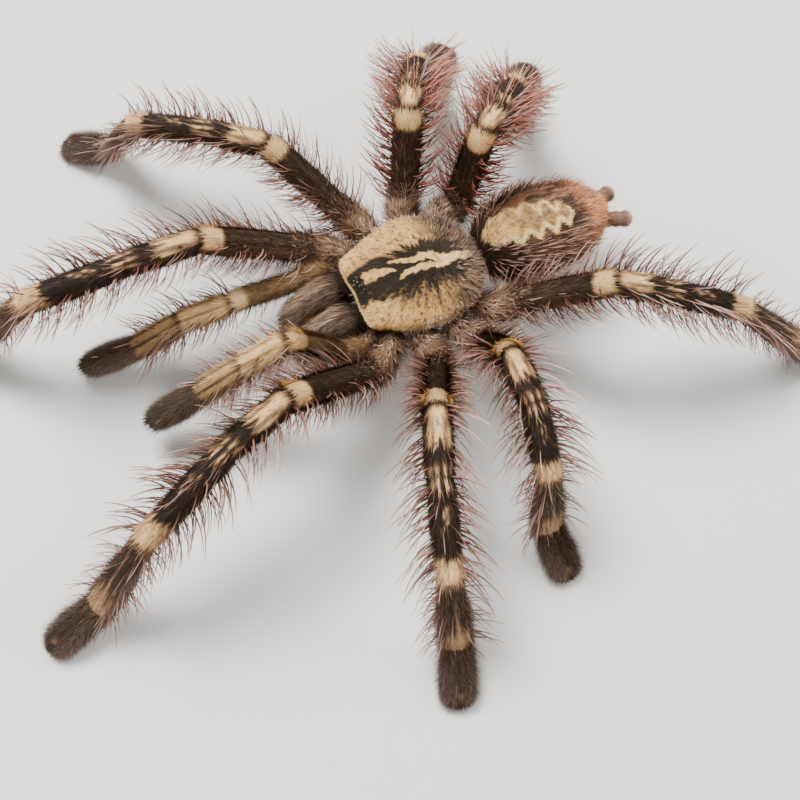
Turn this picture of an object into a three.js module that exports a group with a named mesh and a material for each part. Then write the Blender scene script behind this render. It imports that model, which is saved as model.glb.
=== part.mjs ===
/**
 * A large tree-dwelling tarantula, dried and spread as if walking, standing on its eight feet.
 *
 * Millimetres, +Z up. The head points to -Y and the animal's left side is +X. The body is built
 * round its own centre line, with the floor at Z = 0, and the whole group is then moved so that
 * the origin lies under the middle of its bounding box.
 */
import * as THREE from 'three';

const { degToRad } = THREE.MathUtils;

// ---------------------------------------------------------------------------------------------
// Driving dimensions
// ---------------------------------------------------------------------------------------------

// Carapace: half of its outline seen from above, from the middle of the straight front edge
// round the side to the middle of the rear edge, as X and Y.
const CARAPACE_HALF_OUTLINE = [
  [0, -10.2], [3.4, -10.3], [6.3, -10.1], [7.8, -7.4], [9.2, -3.6],
  [9.7, 0.2], [9.2, 3.8], [7.6, 7.2], [4.6, 9.7], [0, 10.3],
];
const CARAPACE_POINTS = 28; // points round every ring of the cephalothorax
const CARAPACE_UNDERSIDE = 13.75; // height of the flat underside above the floor
const CARAPACE_RIM = 0.7; // thickness of the rim
const CARAPACE_DOME = 3.3; // rise of the dome above the rim
const CARAPACE_CENTRE_Y = -0.5; // where the rings of the dome close
const HEAD_RISE = 0.9; // extra rise of the head region, in front of the central pit
const HEAD_RISE_Y = -5.2;

// Sternum and the core of the cephalothorax, both ellipses seen from above.
const STERNUM_HALF = [4.6, 6.4];
const CORE_HALF = [4.3, 6.0];
const STERNUM_BOTTOM = 7.5;
const STERNUM_EDGE = 8.2;
const CORE_BOTTOM = 9.2;

// Abdomen: an egg, broadest ahead of its middle, with the pedicel on its front end.
const ABDOMEN_SIDES = 20;
const ABDOMEN_FRONT_Y = 10.9;
const ABDOMEN_WIDEST_Y = 20.4;
const ABDOMEN_REAR_Y = 33.6;
const ABDOMEN_HALF_WIDTH = 7.1;
const ABDOMEN_HALF_HEIGHT = 6.3;
const ABDOMEN_HEIGHT_FRONT = 12.6; // height of the centre line above the floor
const ABDOMEN_HEIGHT_REAR = 12.2;
const PEDICEL_RADIUS = 1.2;
const PEDICEL_FRONT_Y = 7.0;
const PEDICEL_HEIGHT = 11.9;

// Chelicerae: stations along each one, as [Y, Z, half width, half height].
const CHELICERA_X = 2.72;
const CHELICERA_SIDES = 12;
const CHELICERA_STATIONS = [
  [-9.1, 12.0, 1.0, 1.1], [-10.3, 12.1, 1.5, 1.3], [-11.4, 12.8, 2.1, 2.5],
  [-13.4, 12.6, 2.4, 2.95], [-15.6, 11.6, 2.4, 2.95], [-17.6, 10.3, 2.2, 2.55],
  [-18.9, 9.4, 1.5, 1.8],
];
const CHELICERA_TIP = [-19.4, 9.0];

// Fangs: stations as [Y, Z, radius], curving down and back under the chelicerae.
const FANG_SIDES = 8;
const FANG_STATIONS = [
  [-18.4, 6.9, 0.85], [-18.8, 5.8, 0.8], [-18.7, 4.7, 0.68], [-18.1, 3.8, 0.52],
  [-17.2, 3.1, 0.36], [-16.2, 2.6, 0.2],
];
const FANG_TIP = [-15.4, 2.4];

// Spinnerets: a pair of three-jointed fingers below the rear end of the abdomen.
const SPINNERET_SIDES = 8;
const SPINNERET_BASE = [1.5, 33.3, 10.7];
const SPINNERET_RADII = [0.85, 1.15, 1.25, 1.1, 1.2, 1.15, 1.0, 1.1, 0.85];
const SPINNERETS = {
  left: { length: 5.4, heading: 66, rise: 6 },
  right: { length: 4.6, heading: 101, rise: 6 },
};

// Legs and palps. The segments run coxa, trochanter, femur, patella, tibia, metatarsus, tarsus,
// and a palp has no metatarsus. The coxa runs from the core to the coxa's end.
const LIMB_SIDES = 10;
const COXA_HEIGHT = 11.4;
const PALP_COXA_HEIGHT = 9.8; // inner end of a palp's coxa
const FOOT_HEIGHT = 0.8; // centre of a foot's end above the floor, less than its radius
const LIMBS = {
  leg_1: { coxa: [4.1, -5.5], end: [9.5, -8.5], lengths: [3.6, 20.4, 10.8, 16.9, 16.2, 9.5] },
  leg_2: { coxa: [5.7, -1.9], end: [10.7, -2.8], lengths: [3.4, 17.7, 9.7, 14.2, 14.6, 8.8] },
  leg_3: { coxa: [5.7, 2.2], end: [10.9, 3.4], lengths: [3.2, 14.9, 8.1, 11.0, 13.9, 8.4] },
  leg_4: { coxa: [4.3, 6.0], end: [9.3, 9.0], lengths: [3.3, 17.8, 8.4, 14.4, 18.1, 8.6] },
  palp: { coxa: [3.5, -8.0], end: [7.0, -11.2], lengths: [3.4, 12.6, 7.7, 9.1, 10.1] },
};

// Radii of the segments at their start, middle and end.
const LEG_RADII = [
  [2.0, 2.05, 2.0], [1.95, 2.25, 2.1], [1.95, 2.15, 1.95], [1.9, 2.1, 1.85],
  [1.75, 1.7, 1.6], [1.55, 1.75, 1.45],
];
const PALP_RADII = [
  [1.4, 1.45, 1.4], [1.35, 1.5, 1.5], [1.55, 1.65, 1.6], [1.6, 1.7, 1.6], [1.6, 1.8, 1.3],
];

// The pads of stiff hair under the last segments spread sideways, so the section there is an
// ellipse: its half width over its half height, at the start, middle and end of each segment.
const LEG_SPREAD = [
  [1, 1, 1], [1, 1, 1], [1, 1, 1], [1, 1, 1], [1, 1.25, 1.4], [1.4, 1.6, 1.5],
];
const PALP_SPREAD = [[1, 1, 1], [1, 1, 1], [1, 1, 1], [1, 1, 1], [1, 1.2, 1.25]];
const COXA_INNER_RADIUS = 1.4;
const PALP_COXA_INNER_RADIUS = 0.9;
const JOINT_WAIST = 0.93; // how far the skin draws in at a joint
const FOOT_BLUNTNESS = 1.5; // length over which a tarsus rounds off
const PAD_PRESS = 0.5; // skin lower than this is pressed flat on the floor
const RINGS_PER_SEGMENT = { short: 1, leg: 4, palp: 3 };

// Posture. Headings are degrees from +X towards +Y, and rises are degrees above the horizontal,
// both from the trochanter outwards. A leg's last rise isn't given: it brings the foot down.
const POSTURE = {
  leg_1_left: { heading: [-55, -76, -71, -71, -76, -77], rise: [-2, 37, 0, -23, -51] },
  leg_2_left: { heading: [5, -31, -23, -17, -7, -22], rise: [4, 43, -2, -29, -62] },
  leg_3_left: { heading: [31, -6, -5, -5, 2, 2], rise: [-3, 56, 6, -38, -72] },
  leg_4_left: { heading: [87, 57, 65, 64, 63, 63], rise: [3, 37, -14, -19, -41] },
  palp_left: { heading: [-90, -96, -100, -99, -94], rise: [2, 47, -35, -39, -28] },
  leg_1_right: { heading: [240, 262, 265, 263, 250, 248], rise: [3, 31, -4, -13, -50] },
  leg_2_right: { heading: [208, 217, 229, 225, 214, 229], rise: [13, 33, -4, -20, -59] },
  leg_3_right: { heading: [153, 154, 149, 146, 136, 130], rise: [1, 56, -22, -30, -55] },
  leg_4_right: { heading: [94, 107, 128, 137, 137, 137], rise: [-4, 79, -24, -34, -60] },
  palp_right: { heading: [268, 269, 265, 261, 258], rise: [5, 3, -9, -33, -22] },
};

// ---------------------------------------------------------------------------------------------
// Materials
// ---------------------------------------------------------------------------------------------

const dull = (color, roughness) => new THREE.MeshStandardMaterial({ color, roughness, metalness: 0 });
const creamCoat = dull('#b9a98d', 0.9);
const tanCoat = dull('#8a6f55', 0.9);
const darkCoat = dull('#3a2c25', 0.9);
const greyCoat = dull('#6b5c54', 0.9);
const pinkCoat = dull('#a67c6a', 0.9);
const fangHorn = dull('#120c0a', 0.25);

// ---------------------------------------------------------------------------------------------
// Shapes
// ---------------------------------------------------------------------------------------------

/** A closed skin over rings of equal length, with a point closing each end. */
function skinOver(startPole, rings, endPole) {
  const count = rings[0].length;
  const points = [startPole, ...rings.flat(), endPole];
  const last = points.length - 1;
  const at = (ring, i) => 1 + ring * count + (i % count);
  const index = [];
  for (let i = 0; i < count; i += 1) {
    index.push(0, at(0, i + 1), at(0, i));
    for (let ring = 0; ring < rings.length - 1; ring += 1) {
      index.push(at(ring, i), at(ring, i + 1), at(ring + 1, i + 1));
      index.push(at(ring, i), at(ring + 1, i + 1), at(ring + 1, i));
    }
    index.push(at(rings.length - 1, i), at(rings.length - 1, i + 1), last);
  }
  const geometry = new THREE.BufferGeometry().setFromPoints(points);
  geometry.setIndex(index);
  geometry.computeVertexNormals();
  return geometry;
}

/** A ring round a centre, spanned by two half axes, anticlockwise seen from the end ahead. */
function ringRound(centre, side, up, sides) {
  return Array.from({ length: sides }, (_, i) => {
    const angle = (2 * Math.PI * i) / sides;
    return centre.clone()
      .addScaledVector(side, Math.cos(angle))
      .addScaledVector(up, Math.sin(angle));
  });
}

/** A direction from a heading and a rise, both in degrees. */
function direction(heading, rise) {
  const [h, r] = [degToRad(heading), degToRad(rise)];
  return new THREE.Vector3(Math.cos(r) * Math.cos(h), Math.cos(r) * Math.sin(h), Math.sin(r));
}

/** A ring square to a limb at a centre, wider than high by its spread. */
function limbRing(centre, along, radius, sides, spread = 1) {
  const side = new THREE.Vector3(0, 0, 1).cross(along).setZ(0).normalize();
  const up = new THREE.Vector3().crossVectors(along, side);
  side.multiplyScalar(radius * spread);
  return ringRound(centre, side, up.multiplyScalar(radius), sides);
}

/** The value at a place from 0 to 1 along a segment, from its start, middle and end values. */
function valueAlong([start, middle, end], t) {
  return t < 0.5
    ? THREE.MathUtils.lerp(start, middle, t * 2)
    : THREE.MathUtils.lerp(middle, end, t * 2 - 1);
}

// ---------------------------------------------------------------------------------------------
// Body
// ---------------------------------------------------------------------------------------------

/** Sternum, core and carapace in one skin, from the middle of the sternum up to the dome. */
function cephalothorax() {
  const half = CARAPACE_HALF_OUTLINE.map(([x, y]) => new THREE.Vector3(x, y, 0));
  const mirrored = half.slice(1, -1).reverse().map((p) => new THREE.Vector3(-p.x, p.y, 0));
  const outline = new THREE.CatmullRomCurve3([...half, ...mirrored], true, 'centripetal');
  const margin = outline.getSpacedPoints(CARAPACE_POINTS).slice(0, CARAPACE_POINTS);
  const centre = new THREE.Vector3(0, CARAPACE_CENTRE_Y, 0);

  const ellipse = ([halfX, halfY], z) => margin.map((p) => {
    const angle = Math.atan2((p.y - centre.y) / halfY, p.x / halfX);
    return new THREE.Vector3(halfX * Math.cos(angle), centre.y + halfY * Math.sin(angle), z);
  });
  const inset = (fraction, height) => margin.map((p) => {
    const point = centre.clone().lerp(p, fraction);
    const headward = Math.exp(-(((point.y - HEAD_RISE_Y) / 3.6) ** 2) - (point.x / 4.2) ** 2);
    return point.setZ(height + HEAD_RISE * headward * (1 - fraction ** 4));
  });
  const rimTop = CARAPACE_UNDERSIDE + CARAPACE_RIM;
  const domeHeight = (fraction) => rimTop + CARAPACE_DOME * Math.sqrt(1 - fraction ** 2.4);

  const rings = [
    ellipse(STERNUM_HALF.map((v) => v * 0.8), STERNUM_BOTTOM + 0.2),
    ellipse(STERNUM_HALF, STERNUM_EDGE),
    ellipse(CORE_HALF, CORE_BOTTOM),
    ellipse(CORE_HALF, CARAPACE_UNDERSIDE - 0.25),
    inset(0.6, CARAPACE_UNDERSIDE),
    inset(0.97, CARAPACE_UNDERSIDE),
    inset(1, CARAPACE_UNDERSIDE + CARAPACE_RIM / 2),
    ...[0.985, 0.93, 0.82, 0.66, 0.46, 0.24].map((f) => inset(f, domeHeight(f))),
  ];
  const bottom = new THREE.Vector3(0, centre.y, STERNUM_BOTTOM);
  const top = new THREE.Vector3(0, centre.y, rings.at(-1)[0].z + 0.1);
  return skinOver(bottom, rings, top);
}

/** Pedicel and abdomen in one skin, from front to rear. */
function abdomen() {
  const rings = [PEDICEL_FRONT_Y, ABDOMEN_FRONT_Y - 0.9].map((y) => ringRound(
    new THREE.Vector3(0, y, PEDICEL_HEIGHT),
    new THREE.Vector3(-PEDICEL_RADIUS, 0, 0),
    new THREE.Vector3(0, 0, PEDICEL_RADIUS),
    ABDOMEN_SIDES,
  ));
  for (const u of [-0.97, -0.87, -0.68, -0.4, 0, 0.24, 0.46, 0.64, 0.79, 0.9, 0.97]) {
    const reach = u < 0 ? ABDOMEN_WIDEST_Y - ABDOMEN_FRONT_Y : ABDOMEN_REAR_Y - ABDOMEN_WIDEST_Y;
    const y = ABDOMEN_WIDEST_Y + u * reach;
    const swell = (1 - Math.abs(u) ** 2.1) ** 0.55;
    const along = (y - ABDOMEN_FRONT_Y) / (ABDOMEN_REAR_Y - ABDOMEN_FRONT_Y);
    const z = THREE.MathUtils.lerp(ABDOMEN_HEIGHT_FRONT, ABDOMEN_HEIGHT_REAR, along);
    rings.push(ringRound(
      new THREE.Vector3(0, y, z),
      new THREE.Vector3(-ABDOMEN_HALF_WIDTH * swell, 0, 0),
      new THREE.Vector3(0, 0, ABDOMEN_HALF_HEIGHT * swell),
      ABDOMEN_SIDES,
    ));
  }
  const front = new THREE.Vector3(0, PEDICEL_FRONT_Y, PEDICEL_HEIGHT);
  const rear = new THREE.Vector3(0, ABDOMEN_REAR_Y, ABDOMEN_HEIGHT_REAR);
  return skinOver(front, rings, rear);
}

/** One chelicera: a blunt lobe that slopes forward and down from under the carapace. */
function chelicera(sign) {
  const x = sign * CHELICERA_X;
  const rings = CHELICERA_STATIONS.map(([y, z, halfWidth, halfHeight]) => ringRound(
    new THREE.Vector3(x, y, z),
    new THREE.Vector3(halfWidth, 0, 0),
    new THREE.Vector3(0, 0, halfHeight),
    CHELICERA_SIDES,
  ));
  const [rearY, rearZ] = CHELICERA_STATIONS[0];
  return skinOver(
    new THREE.Vector3(x, rearY, rearZ),
    rings,
    new THREE.Vector3(x, ...CHELICERA_TIP),
  );
}

/** One fang: a curved cone. */
function fang(sign) {
  const x = sign * CHELICERA_X;
  const places = [...FANG_STATIONS.map(([y, z]) => [y, z]), FANG_TIP];
  const rings = FANG_STATIONS.map(([y, z, radius], i) => {
    const before = places[Math.max(i - 1, 0)];
    const after = places[i + 1];
    const along = new THREE.Vector3(0, after[0] - before[0], after[1] - before[1]).normalize();
    const across = new THREE.Vector3(1, 0, 0);
    const out = new THREE.Vector3().crossVectors(along, across);
    return ringRound(
      new THREE.Vector3(x, y, z),
      across.multiplyScalar(radius),
      out.multiplyScalar(radius),
      FANG_SIDES,
    );
  });
  const [baseY, baseZ] = FANG_STATIONS[0];
  return skinOver(new THREE.Vector3(x, baseY, baseZ), rings, new THREE.Vector3(x, ...FANG_TIP));
}

/** One spinneret: a blunt finger of three short joints. */
function spinneret(sign, { length, heading, rise }) {
  const [baseX, baseY, baseZ] = SPINNERET_BASE;
  const base = new THREE.Vector3(sign * baseX, baseY, baseZ);
  const along = direction(heading, rise);
  const steps = SPINNERET_RADII.length;
  const at = (step) => base.clone().addScaledVector(along, (length * step) / steps);
  const rings = SPINNERET_RADII.map((r, i) => limbRing(at(i), along, r, SPINNERET_SIDES));
  return skinOver(at(0), rings, at(steps - 0.6));
}

// ---------------------------------------------------------------------------------------------
// Limbs
// ---------------------------------------------------------------------------------------------

/** The places of a limb's joints, from the coxa's inner end to the tip of the tarsus. */
function limbJoints(sign, { coxa, end, lengths }, { heading, rise }) {
  const isLeg = lengths.length === 6;
  const innerHeight = isLeg ? COXA_HEIGHT : PALP_COXA_HEIGHT;
  const joints = [
    new THREE.Vector3(sign * coxa[0], coxa[1], innerHeight),
    new THREE.Vector3(sign * end[0], end[1], COXA_HEIGHT),
  ];
  lengths.forEach((length, i) => {
    const from = joints.at(-1);
    const drop = THREE.MathUtils.radToDeg(Math.asin((FOOT_HEIGHT - from.z) / length));
    joints.push(from.clone().addScaledVector(direction(heading[i], rise[i] ?? drop), length));
  });
  return joints;
}

/** A limb as one skin along its joints, flattened where a foot meets the floor. */
function limb(sign, shape, posture) {
  const isLeg = shape.lengths.length === 6;
  const joints = limbJoints(sign, shape, posture);
  const innerRadius = isLeg ? COXA_INNER_RADIUS : PALP_COXA_INNER_RADIUS;
  const radii = isLeg ? LEG_RADII : PALP_RADII;
  const segmentRadii = [[innerRadius, (innerRadius + radii[0][0]) / 2, radii[0][0]], ...radii];
  const spreads = [[1, 1, 1], ...(isLeg ? LEG_SPREAD : PALP_SPREAD)];
  const ways = joints.slice(1).map((p, i) => p.clone().sub(joints[i]).normalize());
  const lengths = joints.slice(1).map((p, i) => p.distanceTo(joints[i]));

  // How far from a joint the next ring has to stay, so that two rings never cross at a bend.
  const clearance = (i) => {
    if (i === 0 || i === ways.length) return 0;
    const bend = ways[i - 1].angleTo(ways[i]);
    return 0.35 + segmentRadii[i][0] * Math.tan(bend / 2);
  };
  const rings = [];
  ways.forEach((way, i) => {
    const isFoot = i === ways.length - 1;
    const [from, to] = [clearance(i), lengths[i] - clearance(i + 1)];
    if (i > 0) {
      const mean = ways[i - 1].clone().add(way).normalize();
      const waist = segmentRadii[i][0] * JOINT_WAIST;
      rings.push(limbRing(joints[i], mean, waist, LIMB_SIDES, spreads[i][0]));
    }
    const kind = isLeg ? 'leg' : 'palp';
    const count = i < 2 ? RINGS_PER_SEGMENT.short + (i === 0 ? 1 : 0) : RINGS_PER_SEGMENT[kind];
    for (let k = 0; k < count; k += 1) {
      const t = count === 1 ? 0.5 : k / (count - 1);
      const place = THREE.MathUtils.lerp(from, isFoot ? lengths[i] - FOOT_BLUNTNESS : to, t);
      const centre = joints[i].clone().addScaledVector(way, place);
      const radius = valueAlong(segmentRadii[i], place / lengths[i]);
      const spread = valueAlong(spreads[i], place / lengths[i]);
      rings.push(limbRing(centre, way, radius, LIMB_SIDES, spread));
    }
  });
  const lastWay = ways.at(-1);
  const tip = joints.at(-1);
  const tipRadius = segmentRadii.at(-1)[2];
  const toe = tip.clone().addScaledVector(lastWay, -FOOT_BLUNTNESS / 5);
  rings.push(limbRing(toe, lastWay, tipRadius * 0.78, LIMB_SIDES, spreads.at(-1)[2]));
  rings.flat().forEach((p) => p.setZ(p.z < PAD_PRESS ? 0 : p.z));
  return skinOver(joints[0], rings, tip);
}

// ---------------------------------------------------------------------------------------------
// Assembly
// ---------------------------------------------------------------------------------------------

const tarantula = new THREE.Group();

function add(name, geometry, material) {
  const mesh = new THREE.Mesh(geometry, material);
  mesh.name = name;
  tarantula.add(mesh);
}

add('cephalothorax', cephalothorax(), creamCoat);
add('abdomen', abdomen(), tanCoat);
for (const [side, sign] of [['left', 1], ['right', -1]]) {
  add(`chelicera_${side}`, chelicera(sign), greyCoat);
  add(`fang_${side}`, fang(sign), fangHorn);
  add(`palp_${side}`, limb(sign, LIMBS.palp, POSTURE[`palp_${side}`]), tanCoat);
  for (const pair of [1, 2, 3, 4]) {
    const name = `leg_${pair}_${side}`;
    add(name, limb(sign, LIMBS[`leg_${pair}`], POSTURE[name]), darkCoat);
  }
  add(`spinneret_${side}`, spinneret(sign, SPINNERETS[side]), pinkCoat);
}

// The origin goes under the middle of the bounding box, on the floor.
const box = new THREE.Box3().setFromObject(tarantula);
const middle = box.getCenter(new THREE.Vector3());
tarantula.position.set(-middle.x, -middle.y, -box.min.z);

export default tarantula;
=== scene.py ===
"""A dried tree-dwelling tarantula, spread as if walking and standing on its eight feet.

Lengths below are millimetres until a mesh is made, in the animal's own frame: head to -Y, its
left side to +X, the floor at Z = 0 and X = Y = 0 in the middle of the carapace.
"""
import itertools
import math

import bpy
import numpy as np
from mathutils import Matrix, Vector


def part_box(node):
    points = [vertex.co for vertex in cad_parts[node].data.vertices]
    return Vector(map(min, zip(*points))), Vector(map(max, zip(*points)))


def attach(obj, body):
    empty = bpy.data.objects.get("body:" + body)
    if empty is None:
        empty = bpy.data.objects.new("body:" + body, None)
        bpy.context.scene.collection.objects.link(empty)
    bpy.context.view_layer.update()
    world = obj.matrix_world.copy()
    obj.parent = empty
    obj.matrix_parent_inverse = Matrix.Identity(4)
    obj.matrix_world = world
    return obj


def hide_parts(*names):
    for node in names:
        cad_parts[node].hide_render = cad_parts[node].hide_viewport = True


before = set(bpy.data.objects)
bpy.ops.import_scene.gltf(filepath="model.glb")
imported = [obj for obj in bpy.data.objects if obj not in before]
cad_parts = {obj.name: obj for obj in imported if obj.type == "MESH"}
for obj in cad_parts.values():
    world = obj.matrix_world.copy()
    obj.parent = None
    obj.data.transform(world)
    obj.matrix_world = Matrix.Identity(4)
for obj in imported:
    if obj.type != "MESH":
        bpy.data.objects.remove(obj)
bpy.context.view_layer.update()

MM = 0.001

# ----------------------------------------------------------------------------------------------
# Cephalothorax: carapace, core and sternum, one shell of thin cuticle that hardens in a single
# moult. The carapace wears a felt of short cream hair that fans out from its central pit, with a
# fringe of tan hair at the edge. The core and the sternum wear a brown coat.
# ----------------------------------------------------------------------------------------------

carapace_low, carapace_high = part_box("cephalothorax")
BODY_MIDDLE = np.array([
    (carapace_low[0] + carapace_high[0]) / 2,
    (carapace_low[1] + carapace_high[1]) / 2,
    0.0,
]) / MM

CARAPACE_HALF_OUTLINE = np.array([
    (0, -10.2), (3.4, -10.3), (6.3, -10.1), (7.8, -7.4), (9.2, -3.6),
    (9.7, 0.2), (9.2, 3.8), (7.6, 7.2), (4.6, 9.7), (0, 10.3),
])
CARAPACE_POINTS = 240
FELT_DEPTH = 0.4
CARAPACE_UNDERSIDE = 13.75
CARAPACE_RIM = 0.7
CARAPACE_DOME = 3.1
CARAPACE_CENTRE = np.array([0.0, -0.5])
HEAD_RISE = 0.9
HEAD_RISE_Y = -5.2
PIT_Y = 4.0
STERNUM_HALF = (4.6, 6.4)
CORE_HALF = (4.3, 6.0)
# Half axes of the rings below the carapace, their share of those, and their heights.
BODY_RINGS = [
    (STERNUM_HALF, 0.4, 7.52), (STERNUM_HALF, 0.8, 7.7), (STERNUM_HALF, 0.94, 7.95), (STERNUM_HALF, 1, 8.2),
    (STERNUM_HALF, 0.98, 8.6), (CORE_HALF, 1, 9.2), (CORE_HALF, 1, 11.3),
    (CORE_HALF, 1, CARAPACE_UNDERSIDE - 0.25),
]
# Shares of the margin, and heights, of the rings under and round the carapace's rim.
RIM_TOP = CARAPACE_UNDERSIDE + CARAPACE_RIM
RIM_RINGS = [
    (0.6, CARAPACE_UNDERSIDE), (0.97, CARAPACE_UNDERSIDE), (0.992, CARAPACE_UNDERSIDE + 0.1),
    (1.0, CARAPACE_UNDERSIDE + CARAPACE_RIM / 2), (1.0, RIM_TOP - 0.1),
]
DOME_SHARES = np.concatenate([[0.998, 0.99, 0.975, 0.95], np.linspace(0.935, 0.015, 66)])
FIRST_DOME_RING = len(BODY_RINGS) + len(RIM_RINGS)
EYE_MOUND_Y = -8.9


def unit(vectors):
    """Vectors of length one."""
    return vectors / np.maximum(np.linalg.norm(vectors, axis=-1, keepdims=True), 1e-9)


def step_up(value, low, high):
    """0 below low, 1 above high, and a smooth rise between them."""
    share = np.clip((value - low) / (high - low), 0, 1)
    return share * share * (3 - 2 * share)


def bump_at(value, middle, half_width):
    """A smooth hump of height 1 round a middle."""
    return np.exp(-(((value - middle) / half_width) ** 2))


def blotches(places, size, seed):
    """Smooth random values from 0 to 1 that change over a given size in mm."""
    scramble = np.array([374761393, 668265263, 362437])
    cell = np.floor(places / size).astype(np.int64)
    share = places / size - cell
    share = share * share * (3 - 2 * share)
    total = np.zeros(places.shape[:-1])
    for corner in itertools.product((0, 1), repeat=3):
        key = (cell + np.array(corner)) @ scramble + seed * 974711
        key = (key ^ (key >> 13)) * 1274126177
        value = ((key ^ (key >> 16)) & 0xFFFF) / 65535
        weight = np.prod(np.where(np.array(corner) == 1, share, 1 - share), axis=-1)
        total += value * weight
    return total


def skin_over(name, rings, start, end):
    """One closed skin over rings of equal length, with a point closing each end.

    Its UV map runs round the piece in U and along it in V.
    """
    ring_count, count = rings.shape[:2]
    places = np.concatenate([[start], rings.reshape(-1, 3), [end]])
    last = len(places) - 1
    ring, i = np.meshgrid(np.arange(ring_count - 1), np.arange(count), indexing="ij")
    ring, i = ring.ravel(), i.ravel()
    here = 1 + ring * count
    quads = np.stack([here + i, here + (i + 1) % count,
                      here + count + (i + 1) % count, here + count + i], axis=-1)
    i = np.arange(count)
    following = (i + 1) % count
    first_cap = np.stack([np.zeros(count, int), 1 + following, 1 + i], axis=-1)
    tail = 1 + (ring_count - 1) * count
    last_cap = np.stack([tail + i, tail + following, np.full(count, last)], axis=-1)
    mesh = bpy.data.meshes.new(name)
    mesh.from_pydata(((places + BODY_MIDDLE) * MM).tolist(), [],
                     quads.tolist() + first_cap.tolist() + last_cap.tolist())
    across = np.tile(np.arange(count) / count, ring_count - 1)
    up = np.repeat(0.02 + 0.96 * np.arange(ring_count - 1) / (ring_count - 1), count)
    rise = 0.96 / (ring_count - 1)
    wide = 1 / count
    quad_uv = np.stack([across, up, across + wide, up, across + wide, up + rise,
                        across, up + rise], axis=-1)
    side = i / count
    flat = np.zeros(count)
    first_uv = np.stack([side + wide / 2, flat, side + wide, flat + 0.02, side, flat + 0.02], axis=-1)
    last_uv = np.stack([side, flat + 0.98, side + wide, flat + 0.98, side + wide / 2, flat + 1], axis=-1)
    uv = mesh.uv_layers.new(name="OFBake")
    uv.data.foreach_set("uv", np.concatenate([quad_uv.ravel(), first_uv.ravel(), last_uv.ravel()]))
    mesh.shade_smooth()
    piece = bpy.data.objects.new(name, mesh)
    bpy.context.scene.collection.objects.link(piece)
    return piece


def with_ends(values):
    """Values of the rings of a skin, with those of its two end points added."""
    flat = values.reshape((-1,) + values.shape[2:])
    return np.concatenate([values[0].mean(axis=0)[None], flat, values[-1].mean(axis=0)[None]])


def write_field(piece, name, values):
    """Stores numbers or vectors on the points of a piece."""
    attributes = piece.data.attributes
    if name in attributes:
        attributes.remove(attributes[name])
    is_vector = values.ndim == 2
    field = attributes.new(name, "FLOAT_VECTOR" if is_vector else "FLOAT", "POINT")
    key = "vector" if is_vector else "value"
    field.data.foreach_set(key, np.ascontiguousarray(values, dtype=np.float32).ravel())


def point_normals(piece):
    """The outward directions at the points of a piece."""
    normals = np.empty(len(piece.data.vertices) * 3, dtype=np.float32)
    piece.data.vertex_normals.foreach_get("vector", normals)
    return normals.reshape(-1, 3)


def closed_curve(points, count):
    """Evenly spaced points on a smooth closed curve through a few given ones."""
    fine = 40
    t = np.linspace(0, 1, fine, endpoint=False)[:, None]
    runs = []
    for i in range(len(points)):
        a, b, c, d = (points[(i + k) % len(points)] for k in (-1, 0, 1, 2))
        runs.append(0.5 * (2 * b + (c - a) * t + (2 * a - 5 * b + 4 * c - d) * t ** 2
                           + (3 * b - a - 3 * c + d) * t ** 3))
    path = np.concatenate(runs + [points[:1]])
    way = np.concatenate([[0], np.cumsum(np.linalg.norm(np.diff(path, axis=0), axis=1))])
    places = np.linspace(0, way[-1], count, endpoint=False)
    return np.stack([np.interp(places, way, path[:, k]) for k in (0, 1)], axis=-1)


# The skin lies under the felt, which is deepest at the front corners, the rear and the right side.
mirrored_outline = CARAPACE_HALF_OUTLINE[1:-1][::-1] * [-1, 1]
carapace_margin = closed_curve(np.concatenate([CARAPACE_HALF_OUTLINE, mirrored_outline]), CARAPACE_POINTS)
at_corner = bump_at(np.abs(carapace_margin[:, 0]), 6.8, 2.2) * step_up(-carapace_margin[:, 1], 5, 8)
felt_depth = FELT_DEPTH + 0.35 * at_corner + 0.35 * step_up(carapace_margin[:, 1], 2, 7)
right_front = step_up(-carapace_margin[:, 0], 5, 8) * bump_at(carapace_margin[:, 1], -4.5, 4)
felt_depth = felt_depth + 0.2 * step_up(-carapace_margin[:, 0], 6, 9) + 0.45 * right_front
carapace_margin -= unit(carapace_margin - CARAPACE_CENTRE) * felt_depth[:, None]


def body_ellipse(half, height):
    """A level ellipse round the core, in step with the margin's points."""
    away = (carapace_margin - CARAPACE_CENTRE) / half
    angle = np.arctan2(away[:, 1], away[:, 0])
    flat = CARAPACE_CENTRE + np.stack([half[0] * np.cos(angle), half[1] * np.sin(angle)], axis=-1)
    return np.column_stack([flat, np.full(len(flat), height)])


def carapace_ring(fraction, height):
    """The margin drawn in towards the centre, with the head's rise, the furrows and the pit."""
    flat = CARAPACE_CENTRE + fraction * (carapace_margin - CARAPACE_CENTRE)
    x, y = flat.T
    inner = 1 - fraction ** 4
    head = HEAD_RISE * bump_at(y, HEAD_RISE_Y, 3.6) * bump_at(x, 0, 4.2) * inner
    mound = 0.75 * bump_at(y, EYE_MOUND_Y, 0.75) * bump_at(x, 0, 1.5)
    angle = np.arctan2(y - PIT_Y, x)
    reach = np.hypot(x, y - PIT_Y)
    furrow = 0.16 * np.cos(angle * 8 + math.pi / 2) ** 8 * step_up(reach, 1.0, 3.0) * inner
    pit = 0.55 * bump_at(x, 0, 1.1) * bump_at(y, PIT_Y, 0.6)
    neck = 0.28 * bump_at(np.abs(x) - (PIT_Y + 0.5 - y) * 0.52, 0, 0.55) * step_up(-y, -3.5, 0) * inner
    return np.column_stack([flat, height + head + mound - furrow - pit * inner - neck])


def rim_ring(fraction, height):
    """The margin drawn in towards the centre and kept level."""
    flat = CARAPACE_CENTRE + fraction * (carapace_margin - CARAPACE_CENTRE)
    return np.column_stack([flat, np.full(CARAPACE_POINTS, height)])


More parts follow.
